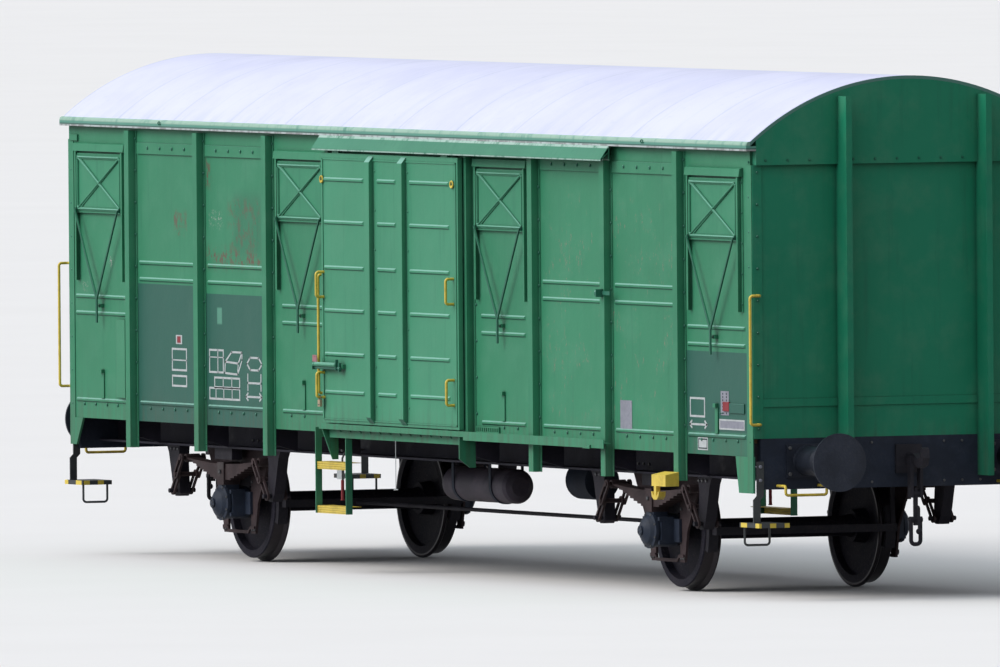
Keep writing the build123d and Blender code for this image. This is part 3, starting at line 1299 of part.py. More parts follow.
# Corner steps, each on a flat hanger from the headstock's face that bends outwards, with a wire loop below
STEP_X = (BODY_HALF_LENGTH - 240.0, BODY_HALF_LENGTH + 110.0)
STEP_Y = (BODY_HALF_WIDTH - 250.0, BODY_HALF_WIDTH + 10.0)
STEP_Z = SHEET_BOTTOM - 511.0
STEP_THICKNESS = 35.0
STEP_BAR_THICKNESS = 12.0
STEP_BAR_WIDTH = 60.0
STEP_BAR_Y = HEADSTOCK_HALF_WIDTH + 40.0
STEP_BAR_TOP = SHEET_BOTTOM - 36.0
JOGGLE_Z = STEP_Z + 210.0
LOOP_RADIUS = 9.0
LOOP_DROP = 140.0
LOOP_MARGIN = 24.0
LOOP_X = BODY_HALF_LENGTH - 200.0

with BuildPart() as corner_steps:
    joggle = STEP_Y[1] - STEP_BAR_Y
    hanger_line = [
        (-STEP_BAR_Y, STEP_BAR_TOP),
        (-STEP_BAR_Y, JOGGLE_Z),
        (-STEP_BAR_Y - joggle, JOGGLE_Z - joggle),
        (-STEP_BAR_Y - joggle, STEP_Z - STEP_THICKNESS),
    ]
    inner_line = [(y + STEP_BAR_WIDTH, z) for y, z in reversed(hanger_line)]
    for way in (-1, 1):
        block(
            sorted((way * STEP_X[0], way * STEP_X[1])),
            (-STEP_Y[1], -STEP_Y[0]),
            (STEP_Z - STEP_THICKNESS, STEP_Z),
        )
        hanger_x = HEADSTOCK_FACE if way > 0 else -HEADSTOCK_FACE - STEP_BAR_THICKNESS
        with BuildSketch(Plane.YZ.offset(hanger_x)):
            with BuildLine():
                Polyline(*hanger_line, *inner_line, close=True)
            make_face()
        extrude(amount=STEP_BAR_THICKNESS)
        loop_x = way * LOOP_X
        loop_top = STEP_Z - STEP_THICKNESS
        bar(
            [
                (loop_x, -STEP_Y[1] + LOOP_MARGIN, loop_top),
                (loop_x, -STEP_Y[1] + LOOP_MARGIN, loop_top - LOOP_DROP),
                (loop_x, -STEP_Y[0] - LOOP_MARGIN, loop_top - LOOP_DROP),
                (loop_x, -STEP_Y[0] - LOOP_MARGIN, loop_top),
            ],
            LOOP_RADIUS,
            3 * LOOP_RADIUS,
        )
    mirror(about=Plane.XZ)
keep(corner_steps, "corner_steps")

# Door steps: two stiles with two treads under the left side of each door
STILE_X = (DOOR_POST_OUT + 147.0, DOOR_POST_IN - 320.0)
STILE_THICKNESS = 10.0
STILE_OUT = BODY_HALF_WIDTH + 80.0
STILE_DEPTH = 55.0
STILE_TAB = 40.0
# The treads are folded sheets: a top and a lip in front
TREAD_TOPS = (SHEET_BOTTOM - 582.0, SHEET_BOTTOM - 232.0)
TREAD_LIP = 60.0
TREAD_SHEET = 5.0
TREAD_DEPTH = 125.0
TREAD_INSET = 12.0

with BuildPart() as door_steps:
    for place in STILE_X:
        block(
            (-place - STILE_THICKNESS / 2, -place + STILE_THICKNESS / 2),
            (-STILE_OUT, -STILE_OUT + STILE_DEPTH),
            (TREAD_TOPS[0] - TREAD_LIP, STRIP_BOTTOM if place < DOOR_POST_IN else SHEET_BOTTOM + STILE_TAB),
        )
    # The outer stile stands off from the wall sheet, on a tab
    block(
        (-STILE_X[0] - STILE_THICKNESS / 2, -STILE_X[0] + STILE_THICKNESS / 2),
        (-STILE_OUT + STILE_DEPTH, -BODY_HALF_WIDTH),
        (SHEET_BOTTOM - STILE_TAB, SHEET_BOTTOM + STILE_TAB),
    )
    add(turned(door_steps.part))
keep(door_steps, "door_steps")

with BuildPart() as door_step_treads:
    tread_x = (-STILE_X[0] + STILE_THICKNESS / 2, -STILE_X[1] - STILE_THICKNESS / 2)
    tread_out = -STILE_OUT + TREAD_INSET
    for top in TREAD_TOPS:
        block(tread_x, (tread_out, tread_out + TREAD_SHEET), (top - TREAD_LIP, top))
        block(tread_x, (tread_out, tread_out + TREAD_DEPTH), (top - TREAD_SHEET, top))
    add(turned(door_step_treads.part))
keep(door_step_treads, "door_step_treads")

# Rope hooks: an arm in front of the last post, a stem and two upturned flukes
HOOK_X = LAST_POST - 30.0
HOOK_REACH = 116.0
HOOK_OUT = POST_OUT + HOOK_REACH
HOOK_ARM_X = (HOOK_X - 170.0, HOOK_X + 80.0)
HOOK_ARM_SLOPE = 22.0
HOOK_ARM_Z = (POST_FOOT - 43.0, POST_FOOT + 67.0)
HOOK_STEM_X = HOOK_X - 110.0
HOOK_STEM_HALF_WIDTH = 20.0
HOOK_STEM_DEPTH = 36.0
HOOK_TIP = POST_FOOT - 148.0
FLUKE_DEPTH = 60.0
# Outline of the flukes: sideways from the stem, up from the lowest point
FLUKE_OUTLINE = (
    (25.0, 0.0),
    (58.0, 20.0),
    (70.0, 62.0),
    (52.0, 62.0),
    (40.0, 40.0),
    (18.0, 30.0),
)

with BuildPart() as rope_hooks:
    with BuildSketch(Plane.YZ.offset(HOOK_ARM_X[0])):
        with BuildLine():
            Polyline(
                (-HOOK_OUT, HOOK_ARM_Z[0]),
                (-POST_OUT, HOOK_ARM_Z[0]),
                (-POST_OUT, HOOK_ARM_Z[1]),
                (-HOOK_OUT, HOOK_ARM_Z[1] - HOOK_ARM_SLOPE),
                close=True,
            )
        make_face()
    extrude(amount=HOOK_ARM_X[1] - HOOK_ARM_X[0])
    block(
        (HOOK_STEM_X - HOOK_STEM_HALF_WIDTH, HOOK_STEM_X + HOOK_STEM_HALF_WIDTH),
        (-HOOK_OUT, -HOOK_OUT + HOOK_STEM_DEPTH),
        (HOOK_TIP + 10.0, HOOK_ARM_Z[0]),
    )
    with BuildSketch(Plane.XZ.offset(HOOK_OUT - FLUKE_DEPTH)):
        with BuildLine():
            Polyline(
                *[(HOOK_STEM_X + x, HOOK_TIP + z) for x, z in FLUKE_OUTLINE],
                *[(HOOK_STEM_X - x, HOOK_TIP + z) for x, z in reversed(FLUKE_OUTLINE)],
                close=True,
            )
        make_face()
    extrude(amount=FLUKE_DEPTH)
    add(turned(rope_hooks.part))
keep(rope_hooks, "rope_hooks")

# Buffers: a flanged casing and a plunger with a domed round head
BUFFER_FLANGE_THICKNESS = 20.0
BUFFER_FLANGE_WIDTH = 340.0
BUFFER_FLANGE_HEIGHT = 260.0
CASING_RADIUS = 112.0
CASING_LENGTH = 330.0
PLUNGER_RADIUS = 86.0
BUFFER_HEAD_RADIUS = 225.0
BUFFER_HEAD_THICKNESS = 32.0
BUFFER_DOME = 14.0

with BuildPart() as buffer_casings:
    block(
        (HEADSTOCK_FACE, HEADSTOCK_FACE + BUFFER_FLANGE_THICKNESS),
        (-BUFFER_SPACING - BUFFER_FLANGE_WIDTH / 2, -BUFFER_SPACING + BUFFER_FLANGE_WIDTH / 2),
        (BUFFER_HEIGHT - BUFFER_FLANGE_HEIGHT / 2, BUFFER_HEIGHT + BUFFER_FLANGE_HEIGHT / 2),
    )
    with BuildSketch(Plane.XY.offset(BUFFER_HEIGHT)):
        with BuildLine():
            Polyline(
                (HEADSTOCK_FACE, -BUFFER_SPACING),
                (HEADSTOCK_FACE + CASING_LENGTH, -BUFFER_SPACING),
                (HEADSTOCK_FACE + CASING_LENGTH, -BUFFER_SPACING + CASING_RADIUS - 10.0),
                (HEADSTOCK_FACE + CASING_LENGTH - 30.0, -BUFFER_SPACING + CASING_RADIUS),
                (HEADSTOCK_FACE + 40.0, -BUFFER_SPACING + CASING_RADIUS),
                (HEADSTOCK_FACE, -BUFFER_SPACING + CASING_RADIUS + 16.0),
                close=True,
            )
        make_face()
    revolve(axis=Axis((0, -BUFFER_SPACING, BUFFER_HEIGHT), (1, 0, 0)))
    mirror(about=Plane.XZ)
    mirror(about=Plane.YZ)
keep(buffer_casings, "buffer_casings")

with BuildPart() as buffer_plungers:
    reach = HEADSTOCK_FACE + BUFFER_REACH
    with BuildSketch(Plane.XY.offset(BUFFER_HEIGHT)):
        with BuildLine():
            ThreePointArc(
                (reach, -BUFFER_SPACING),
                (reach - BUFFER_DOME * 0.25, -BUFFER_SPACING + BUFFER_HEAD_RADIUS / 2),
                (reach - BUFFER_DOME, -BUFFER_SPACING + BUFFER_HEAD_RADIUS),
            )
            Polyline(
                (reach - BUFFER_DOME, -BUFFER_SPACING + BUFFER_HEAD_RADIUS),
                (reach - BUFFER_HEAD_THICKNESS, -BUFFER_SPACING + BUFFER_HEAD_RADIUS),
                (reach - BUFFER_HEAD_THICKNESS - 30.0, -BUFFER_SPACING + PLUNGER_RADIUS),
                (HEADSTOCK_FACE + CASING_LENGTH, -BUFFER_SPACING + PLUNGER_RADIUS),
                (HEADSTOCK_FACE + CASING_LENGTH, -BUFFER_SPACING),
                (reach, -BUFFER_SPACING),
            )
        make_face()
    revolve(axis=Axis((0, -BUFFER_SPACING, BUFFER_HEIGHT), (1, 0, 0)))
    mirror(about=Plane.XZ)
    mirror(about=Plane.YZ)
keep(buffer_plungers, "buffer_plungers")

# Draw hooks and screw couplings, hung with the coupling folded down
HOOK_HALF_THICKNESS = 28.0
DRAW_REACH = 330.0

with BuildPart() as draw_hooks:
    with BuildSketch(Plane.XZ.offset(-HOOK_HALF_THICKNESS)):
        with BuildLine():
            Polyline(
                (HEADSTOCK_FACE, BUFFER_HEIGHT - 36.0),
                (HEADSTOCK_FACE + 150.0, BUFFER_HEIGHT - 44.0),
                (HEADSTOCK_FACE + 230.0, BUFFER_HEIGHT - 70.0),
                (HEADSTOCK_FACE + DRAW_REACH - 24.0, BUFFER_HEIGHT - 48.0),
                (HEADSTOCK_FACE + DRAW_REACH, BUFFER_HEIGHT + 10.0),
                (HEADSTOCK_FACE + DRAW_REACH - 12.0, BUFFER_HEIGHT + 84.0),
                (HEADSTOCK_FACE + DRAW_REACH - 42.0, BUFFER_HEIGHT + 92.0),
                (HEADSTOCK_FACE + DRAW_REACH - 62.0, BUFFER_HEIGHT + 30.0),
                (HEADSTOCK_FACE + 240.0, BUFFER_HEIGHT - 4.0),
                (HEADSTOCK_FACE + 190.0, BUFFER_HEIGHT + 20.0),
                (HEADSTOCK_FACE + 150.0, BUFFER_HEIGHT + 44.0),
                (HEADSTOCK_FACE, BUFFER_HEIGHT + 36.0),
                close=True,
            )
        make_face()
    extrude(amount=2 * HOOK_HALF_THICKNESS)
    block(
        (HEADSTOCK_FACE, HEADSTOCK_FACE + 24.0),
        (-110.0, 110.0),
        (BUFFER_HEIGHT - 110.0, BUFFER_HEIGHT + 110.0),
    )
    mirror(about=Plane.YZ)
keep(draw_hooks, "draw_hooks")

# A link over the hook, a screw between two cross blocks, a handle and a bow below
COUPLING_X = HEADSTOCK_FACE + 130.0
COUPLING_LINK = 24.0
COUPLING_Y = HOOK_HALF_THICKNESS + SEAT_GAP + COUPLING_LINK / 2
UPPER_BLOCK_Z = BUFFER_HEIGHT - 270.0
LOWER_BLOCK_Z = BUFFER_HEIGHT - 470.0
CROSS_BLOCK_RADIUS = 24.0
SCREW_RADIUS = 19.0
BOW_RADIUS = 16.0
BOW_DROP = 190.0
CRANK_REACH = 190.0

with BuildPart() as screw_couplings:
    for side_sign in (-1, 1):
        block(
            (COUPLING_X - 30.0, COUPLING_X + 30.0),
            (side_sign * COUPLING_Y - COUPLING_LINK / 2, side_sign * COUPLING_Y + COUPLING_LINK / 2),
            (UPPER_BLOCK_Z - 30.0, BUFFER_HEIGHT + 20.0),
        )
    for block_z in (UPPER_BLOCK_Z, LOWER_BLOCK_Z):
        with Locations(Location((COUPLING_X, 0, block_z), (90, 0, 0))):
            Cylinder(CROSS_BLOCK_RADIUS, 2 * COUPLING_Y + COUPLING_LINK)
    with Locations((COUPLING_X, 0, (UPPER_BLOCK_Z + LOWER_BLOCK_Z) / 2)):
        Cylinder(SCREW_RADIUS, UPPER_BLOCK_Z - LOWER_BLOCK_Z + 90.0)
    bar(
        [
            (COUPLING_X, -COUPLING_Y, LOWER_BLOCK_Z),
            (COUPLING_X, -COUPLING_Y, LOWER_BLOCK_Z - BOW_DROP),
            (COUPLING_X, COUPLING_Y, LOWER_BLOCK_Z - BOW_DROP),
            (COUPLING_X, COUPLING_Y, LOWER_BLOCK_Z),
        ],
        BOW_RADIUS,
        2 * BOW_RADIUS,
    )
    crank_z = (UPPER_BLOCK_Z + LOWER_BLOCK_Z) / 2
    bar(
        [
            (COUPLING_X, 0, crank_z),
            (COUPLING_X + 60.0, 0, crank_z),
            (COUPLING_X + 60.0, 0, crank_z - CRANK_REACH),
        ],
        10.0,
        20.0,
    )
    with Locations((COUPLING_X + 60.0, 0, crank_z - CRANK_REACH)):
        Sphere(24.0)
    mirror(about=Plane.YZ)
keep(screw_couplings, "screw_couplings")

# Air reservoir and brake cylinder under the floor
TANK_X = (-600.0, 630.0)
TANK_Y = -600.0
TANK_Z = SILL_BOTTOM - 200.0
TANK_RADIUS = 137.0
TANK_END = 60.0
STRAP_PLACES = (-330.0, 360.0)
STRAP_WIDTH = 40.0
STRAP_THICKNESS = 8.0

with BuildPart() as air_reservoir:
    with BuildSketch(Plane.XY.offset(TANK_Z)):
        with BuildLine():
            Polyline(
                (TANK_X[0], TANK_Y),
                (TANK_X[0], TANK_Y + TANK_RADIUS * 0.55),
                (TANK_X[0] + TANK_END * 0.4, TANK_Y + TANK_RADIUS * 0.88),
                (TANK_X[0] + TANK_END, TANK_Y + TANK_RADIUS),
                (TANK_X[1] - TANK_END, TANK_Y + TANK_RADIUS),
                (TANK_X[1] - TANK_END * 0.4, TANK_Y + TANK_RADIUS * 0.88),
                (TANK_X[1], TANK_Y + TANK_RADIUS * 0.55),
                (TANK_X[1], TANK_Y),
                close=True,
            )
        make_face()
    revolve(axis=Axis((0, TANK_Y, TANK_Z), (1, 0, 0)))
keep(air_reservoir, "air_reservoir")

with BuildPart() as tank_straps:
    for place in STRAP_PLACES:
        with BuildSketch(Plane.YZ.offset(place - STRAP_WIDTH / 2)):
            outer_r = TANK_RADIUS + SEAT_GAP + STRAP_THICKNESS
            with Locations((TANK_Y, TANK_Z)):
                Circle(outer_r)
            with Locations((TANK_Y, (TANK_Z + FLOOR_BOTTOM) / 2)):
                Rectangle(2 * outer_r, FLOOR_BOTTOM - TANK_Z)
            with Locations((TANK_Y, (TANK_Z + FLOOR_BOTTOM) / 2)):
                Rectangle(2 * (TANK_RADIUS + SEAT_GAP), FLOOR_BOTTOM - TANK_Z, mode=Mode.SUBTRACT)
            with Locations((TANK_Y, TANK_Z)):
                Circle(TANK_RADIUS + SEAT_GAP, mode=Mode.SUBTRACT)
        extrude(amount=STRAP_WIDTH)
keep(tank_straps, "tank_straps")

BRAKE_CYLINDER_X = (820.0, 1180.0)
BRAKE_CYLINDER_Y = -150.0
BRAKE_CYLINDER_Z = SILL_BOTTOM - 150.0
BRAKE_CYLINDER_RADIUS = 150.0

with BuildPart() as brake_cylinder:
    with Locations(
        Location(
            (sum(BRAKE_CYLINDER_X) / 2, BRAKE_CYLINDER_Y, BRAKE_CYLINDER_Z), (0, 90, 0)
        )
    ):
        Cylinder(BRAKE_CYLINDER_RADIUS, BRAKE_CYLINDER_X[1] - BRAKE_CYLINDER_X[0])
    block(
        (BRAKE_CYLINDER_X[0] + 100.0, BRAKE_CYLINDER_X[0] + 140.0),
        (BRAKE_CYLINDER_Y - 120.0, BRAKE_CYLINDER_Y + 120.0),
        (BRAKE_CYLINDER_Z, FLOOR_BOTTOM),
    )
keep(brake_cylinder, "brake_cylinder")

# Brake rigging: blocks on both sides of each wheel, hung from the cross members
BLOCK_HALF_WIDTH = 42.0
BLOCK_Y = WHEEL_OUTER_FACE - BLOCK_HALF_WIDTH - 8.0
BLOCK_GAP = 7.0
BLOCK_THICKNESS = 50.0
BLOCK_HALF_ANGLE = 19.0
BEAM_HALF_HEIGHT = 30.0
BEAM_X = TREAD_RADIUS + BLOCK_GAP + BLOCK_THICKNESS
HANGER_HALF_WIDTH = 16.0
BLOCK_HOLDER = 14.0
BEAM_BACK = BEAM_X + 40.0
BEAM_END = BEAM_X + 80.0
PULL_ROD_RADIUS = 16.0
LEVER_X = (BRAKE_CYLINDER_X[1] + 40.0, BRAKE_CYLINDER_X[1] + 65.0)

with BuildPart() as brake_rigging:
    for axle_x in (-AXLE_X, AXLE_X):
        for way in (-1, 1):
            inner_r = TREAD_RADIUS + BLOCK_GAP
            outer_r = inner_r + BLOCK_THICKNESS
            turn = radians(BLOCK_HALF_ANGLE)
            for side_sign in (-1, 1):
                block_plane = Plane(
                    origin=(axle_x, side_sign * BLOCK_Y + BLOCK_HALF_WIDTH, AXLE_Z),
                    x_dir=(1, 0, 0),
                    z_dir=(0, -1, 0),
                )
                with BuildSketch(block_plane):
                    with BuildLine():
                        inside = ThreePointArc(
                            (way * inner_r * cos(turn), -inner_r * sin(turn)),
                            (way * inner_r, 0),
                            (way * inner_r * cos(turn), inner_r * sin(turn)),
                        )
                        outside = ThreePointArc(
                            (way * outer_r * cos(turn), -outer_r * sin(turn)),
                            (way * outer_r, 0),
                            (way * outer_r * cos(turn), outer_r * sin(turn)),
                        )
                        Line(inside @ 0, outside @ 0)
                        Line(inside @ 1, outside @ 1)
                    make_face()
                extrude(amount=2 * BLOCK_HALF_WIDTH)
                block(
                    sorted((axle_x + way * (BEAM_X - BLOCK_HOLDER), axle_x + way * BEAM_BACK)),
                    (side_sign * BLOCK_Y - HANGER_HALF_WIDTH, side_sign * BLOCK_Y + HANGER_HALF_WIDTH),
                    (AXLE_Z - BEAM_HALF_HEIGHT, AXLE_Z + BEAM_HALF_HEIGHT),
                )
                block(
                    sorted((axle_x + way * (BEAM_X + 20.0), axle_x + way * BEAM_BACK)),
                    (side_sign * BLOCK_Y - HANGER_HALF_WIDTH, side_sign * BLOCK_Y + HANGER_HALF_WIDTH),
                    (AXLE_Z, FLOOR_BOTTOM),
                )
            block(
                sorted((axle_x + way * BEAM_BACK, axle_x + way * BEAM_END)),
                (-BLOCK_Y - HANGER_HALF_WIDTH, BLOCK_Y + HANGER_HALF_WIDTH),
                (AXLE_Z - BEAM_HALF_HEIGHT, AXLE_Z + BEAM_HALF_HEIGHT),
            )
    with Locations(Location((0, BRAKE_CYLINDER_Y, AXLE_Z), (0, 90, 0))):
        Cylinder(PULL_ROD_RADIUS, 2 * (AXLE_X - BEAM_END))
    block(
        LEVER_X,
        (BRAKE_CYLINDER_Y - 40.0, BRAKE_CYLINDER_Y + 40.0),
        (AXLE_Z - 40.0, BRAKE_CYLINDER_Z + 40.0),
    )
    with Locations(
        Location(((BRAKE_CYLINDER_X[1] + LEVER_X[0]) / 2, BRAKE_CYLINDER_Y, BRAKE_CYLINDER_Z), (0, 90, 0))
    ):
        Cylinder(PULL_ROD_RADIUS, LEVER_X[0] - BRAKE_CYLINDER_X[1])
keep(brake_rigging, "brake_rigging")
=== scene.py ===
"""Looks for the two-axle covered goods van: materials, bolts, marks, floor, lights and camera.

Every length is in metres, in the frame of the CAD part. RAIL is the top of the rail above the
ground plane. "Near" is the side at -Y. The far side is the near side after half a turn about Z.
"""
import math

import bmesh
import bpy
from mathutils import Matrix, Vector


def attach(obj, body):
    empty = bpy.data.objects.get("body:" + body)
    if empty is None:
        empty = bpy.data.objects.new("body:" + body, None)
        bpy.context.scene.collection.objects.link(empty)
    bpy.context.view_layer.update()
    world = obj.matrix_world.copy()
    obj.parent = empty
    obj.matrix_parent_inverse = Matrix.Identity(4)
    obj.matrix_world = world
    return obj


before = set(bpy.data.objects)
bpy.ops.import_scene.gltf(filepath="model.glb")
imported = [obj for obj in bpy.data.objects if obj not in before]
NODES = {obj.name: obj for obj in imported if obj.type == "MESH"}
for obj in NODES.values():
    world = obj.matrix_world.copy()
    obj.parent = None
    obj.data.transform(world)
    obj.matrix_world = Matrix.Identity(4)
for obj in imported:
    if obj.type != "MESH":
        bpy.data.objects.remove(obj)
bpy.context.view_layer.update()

# Places of the CAD part: faces of the walls, doors and ends, middles along the van, and heights
RAIL = 0.03
WALL_Y = 1.32
FLANGE_Y = WALL_Y + 0.006
DOOR_Y = 1.435
END_X = 6.39
GABLE_X = 6.43
CORNICE_Z = 3.446 + RAIL
AXLE_X = 4.0
TREAD_RADIUS = 0.45
AXLE_Z = TREAD_RADIUS + RAIL
BUFFER_Y = 0.875
BUFFER_Z = 1.05 + RAIL
POSTS = (2.49, 3.81, 5.13)
PLAIN_BAYS = (3.15, 4.47)
HATCHES = (-5.745, -1.87, 1.87, 5.745)
HATCH_NAMES = ("outer_left", "inner_left", "inner_right", "outer_right")
SIDES = ("near", "far")
BOTH_WAYS = (-1, 1)

# The way out of the near wall, and how deep a piece sinks into what carries it
OUT = (0, -1, 0)
SINK = 0.001
HALF_TURN = Matrix.Rotation(math.pi, 3, "Z")


def linear(code, gain=1.0):
    """The linear colour of a six-digit screen colour, times a gain."""
    values = []
    for i in (0, 2, 4):
        v = int(code[i : i + 2], 16) / 255
        v = v / 12.92 if v <= 0.04045 else ((v + 0.055) / 1.055) ** 2.4
        values.append(v * gain)
    return (*values, 1.0)


def shade(color, gain):
    """The same colour, made lighter or darker."""
    return [c * gain for c in color[:3]] + [1.0]


def link(thing):
    bpy.context.scene.collection.objects.link(thing)
    return thing


class Nodes:
    """The node tree of a material or a world, built step by step. Each step gives a socket."""

    def __init__(self, owner):
        owner.use_nodes = True
        self.tree = owner.node_tree
        self.tree.nodes.clear()

    def add(self, kind, settings=None, **inputs):
        node = self.tree.nodes.new(kind)
        for key, value in (settings or {}).items():
            setattr(node, key, value)
        for key, value in inputs.items():
            self.feed(node.inputs[key.replace("_", " ")], value)
        return node

    def feed(self, socket, value):
        if isinstance(value, bpy.types.NodeSocket):
            self.tree.links.new(value, socket)
        else:
            socket.default_value = value

    def feed_all(self, node, *values):
        for socket, value in zip(node.inputs, values):
            self.feed(socket, value)
        return node.outputs[0]

    def math(self, operation, *values):
        return self.feed_all(self.add("ShaderNodeMath", {"operation": operation}), *values)

    def both(self, *values):
        """All values times each other."""
        result = values[0]
        for value in values[1:]:
            result = self.math("MULTIPLY", result, value)
        return result

    def most(self, *values):
        """The largest value."""
        result = values[0]
        for value in values[1:]:
            result = self.math("MAXIMUM", result, value)
        return result

    def step(self, value, low, high):
        """0 below low, 1 above high, smooth between. low may be the larger."""
        node = self.add("ShaderNodeMapRange", {"interpolation_type": "SMOOTHSTEP"})
        return self.feed_all(node, value, low, high, 0.0, 1.0)

    def window(self, value, low, high, soft):
        """1 between low and high, with soft edges."""
        return self.both(
            self.step(value, low - soft, low + soft), self.step(value, high + soft, high - soft)
        )

    def mix(self, factor, a, b):
        node = self.add("ShaderNodeMix", {"data_type": "RGBA"})
        for i, v in ((0, factor), (6, a), (7, b)):
            self.feed(node.inputs[i], v)
        return node.outputs[2]

    def in_view(self):
        """1 for what the camera sees, also in a mirror or through glass."""
        rays = self.add("ShaderNodeLightPath").outputs
        return self.most(rays["Is Camera Ray"], rays["Is Glossy Ray"], rays["Is Transmission Ray"])


class Shader(Nodes):
    """A material's nodes, with places in the frame of the CAD part."""

    def __init__(self, name):
        self.mat = bpy.data.materials.new(name)
        super().__init__(self.mat)
        self.at = self.add("ShaderNodeTexCoord").outputs["Object"]
        self.x, self.y, self.z = self.add("ShaderNodeSeparateXYZ", Vector=self.at).outputs
        # Along the side as seen from in front of it, so that both sides are painted alike
        self.u = self.both(self.x, self.both(self.math("SIGN", self.y), -1.0))

    def facing(self):
        """The way that the face looks, along X, Y and Z."""
        normal = self.add("ShaderNodeNewGeometry").outputs["Normal"]
        return self.add("ShaderNodeSeparateXYZ", Vector=normal).outputs

    def noise(self, scale, detail=4.0, rough=0.55, stretch=(1, 1, 1), shift=(0, 0, 0)):
        where = self.add("ShaderNodeMapping", Vector=self.at, Scale=stretch, Location=shift).outputs[0]
        return self.add(
            "ShaderNodeTexNoise", Vector=where, Scale=scale, Detail=detail, Roughness=rough
        ).outputs[0]

    def patch(self, u0, u1, z0, z1, soft=0.004):
        """1 on a rectangle of the side walls, heights above the rail."""
        return self.both(
            self.window(self.u, u0, u1, soft), self.window(self.z, z0 + RAIL, z1 + RAIL, soft)
        )

    def crevice(self, reach):
        """1 in corners and gaps, 0 in the open."""
        node = self.add("ShaderNodeAmbientOcclusion", {"samples": 6}, Distance=reach)
        return self.step(node.outputs["AO"], 0.9, 0.45)

    def done(self, color, rough, metallic=0.0, bump=None, height=0.002, specular=0.5):
        node = self.add(
            "ShaderNodeBsdfPrincipled", Base_Color=color, Roughness=rough, Metallic=metallic
        )
        node.inputs["Specular IOR Level"].default_value = specular
        if bump is not None:
            lift = self.add("ShaderNodeBump", Height=bump, Distance=height, Strength=1.0)
            self.feed(node.inputs["Normal"], lift.outputs[0])
        self.add("ShaderNodeOutputMaterial", Surface=node.outputs[0])
        return self.mat


# The van's paint. The side and end greens are one paint as lit and shaded copies: the side's paler tone is
# chalked paint with a painted sunlit sheen, and the end's deeper tone is painted shade.
SUNLIT_SIDE_GREEN = (0.0370, 0.2200, 0.1110, 1)
SHADED_END_GREEN = (0.0150, 0.2200, 0.1160, 1)
CHALKED_GREEN = (0.1000, 0.3000, 0.1800, 1)
STREAK_GREEN = (0.0180, 0.1275, 0.0750, 1)
RUBBED_GREEN = (0.0180, 0.1100, 0.0650, 1)
TAPE_GREEN = (0.1900, 0.4800, 0.3300, 1)
PAINTED_HIGHLIGHT_GREEN = (0.2600, 0.5000, 0.4000, 1)
PAINTED_SHADE_GREEN = (0.0180, 0.1100, 0.0750, 1)
PAINTED_ROD_SHADE = (0.0160, 0.0900, 0.0620, 1)
LIP_GREEN = (0.4200, 0.5600, 0.4800, 1)
BLUE_GREEN = (0.0225, 0.0980, 0.0740, 1)
PALE_BLUE_GREEN = (0.0320, 0.1170, 0.0910, 1)
OXIDE = (0.1600, 0.0700, 0.0580, 1)
PRIMER = (0.2800, 0.2000, 0.1600, 1)
PALE_FLECK = (0.5500, 0.4600, 0.4500, 1)
SAFETY_YELLOW = (0.8400, 0.6000, 0.0750, 1)
WORN_YELLOW = (0.6450, 0.4500, 0.0540, 1)
RUST = linear("6B4A3E", 0.93)
DUST = linear("5B5A4C", 0.83)
PAINTED_CREVICE_SHADE = linear("12382A", 0.90)

# Places on a side as seen from in front of it: left, right, low and high
REPAINTED = (
    (-5.085, -3.870, 1.070, 2.195),
    (-3.755, -2.550, 1.070, 2.140),
    (5.190, 6.285, 1.262, 1.885),
)
THINLY_REPAINTED = (5.190, 6.285, 1.070, 1.262)
RUBBED = (-3.20, -2.64, 2.45, 2.96)
TAPE = (-3.53, -3.44, 1.90, 2.03)
# The same, then how soft the edge is, and how bare the place
RUSTED = (
    (-4.37, -4.11, 2.59, 2.79, 0.03, 0.80),
    (-3.76, -3.63, 3.00, 3.20, 0.06, 1.00),
    (-3.30, -2.70, 2.50, 2.90, 0.06, 0.55),
    (-3.74, -2.62, 2.36, 2.50, 0.06, 1.00),
)
# The same, then how soft the edge is
FLECKED = (
    (-3.66, -3.42, 2.68, 2.79, 0.05),
    (-6.13, -6.04, 2.12, 2.18, 0.03),
    (-5.31, -5.25, 2.03, 2.09, 0.03),
    (-5.62, -5.54, 2.33, 2.40, 0.03),
)


def wear(s, color, cloud, out_y):
    """Repainted and worn places, on the outer faces of the sides only."""
    outer = s.step(s.both(out_y, s.math("SIGN", s.y)), -0.1, 0.1)
    repaint = s.most(*[s.patch(*place) for place in REPAINTED])
    repaint = s.most(repaint, s.both(s.patch(*THINLY_REPAINTED), 0.65))
    color = s.mix(s.both(outer, repaint, 0.92), color, s.mix(cloud, BLUE_GREEN, PALE_BLUE_GREEN))
    color = s.mix(s.both(outer, s.patch(*RUBBED, 0.07), 0.3), color, RUBBED_GREEN)
    # Bare places, worn in upright strokes, and pale flecks beside them
    scrape = s.noise(12.0, 8.0, 0.85, stretch=(1.25, 1.25, 0.8))
    bare = s.most(*[s.both(s.patch(*place), share) for *place, share in RUSTED])
    color = s.mix(s.both(outer, bare, s.step(scrape, 0.50, 0.56), 0.9), color, OXIDE)
    spots = s.noise(42.0, 5.0, 0.85)
    pale = s.most(*[s.patch(*place) for place in FLECKED])
    color = s.mix(s.both(outer, pale, s.step(spots, 0.555, 0.59), 0.9), color, PALE_FLECK)
    color = s.mix(s.both(outer, s.patch(*TAPE, 0.01), 0.5), color, TAPE_GREEN)
    # Thin scrapes on the bays right of the door
    worn = s.noise(26.0, 6.0, 0.8, stretch=(1.3, 1.3, 0.45), shift=(2.0, 0, 1.3))
    right_bays = s.both(s.window(s.u, 2.60, 5.00, 0.1), s.window(s.z, 1.35, 3.05, 0.2))
    thin = s.both(s.step(worn, 0.585, 0.625), s.step(cloud, 0.46, 0.53))
    return s.mix(s.both(outer, right_bays, thin, 0.7), color, PRIMER)


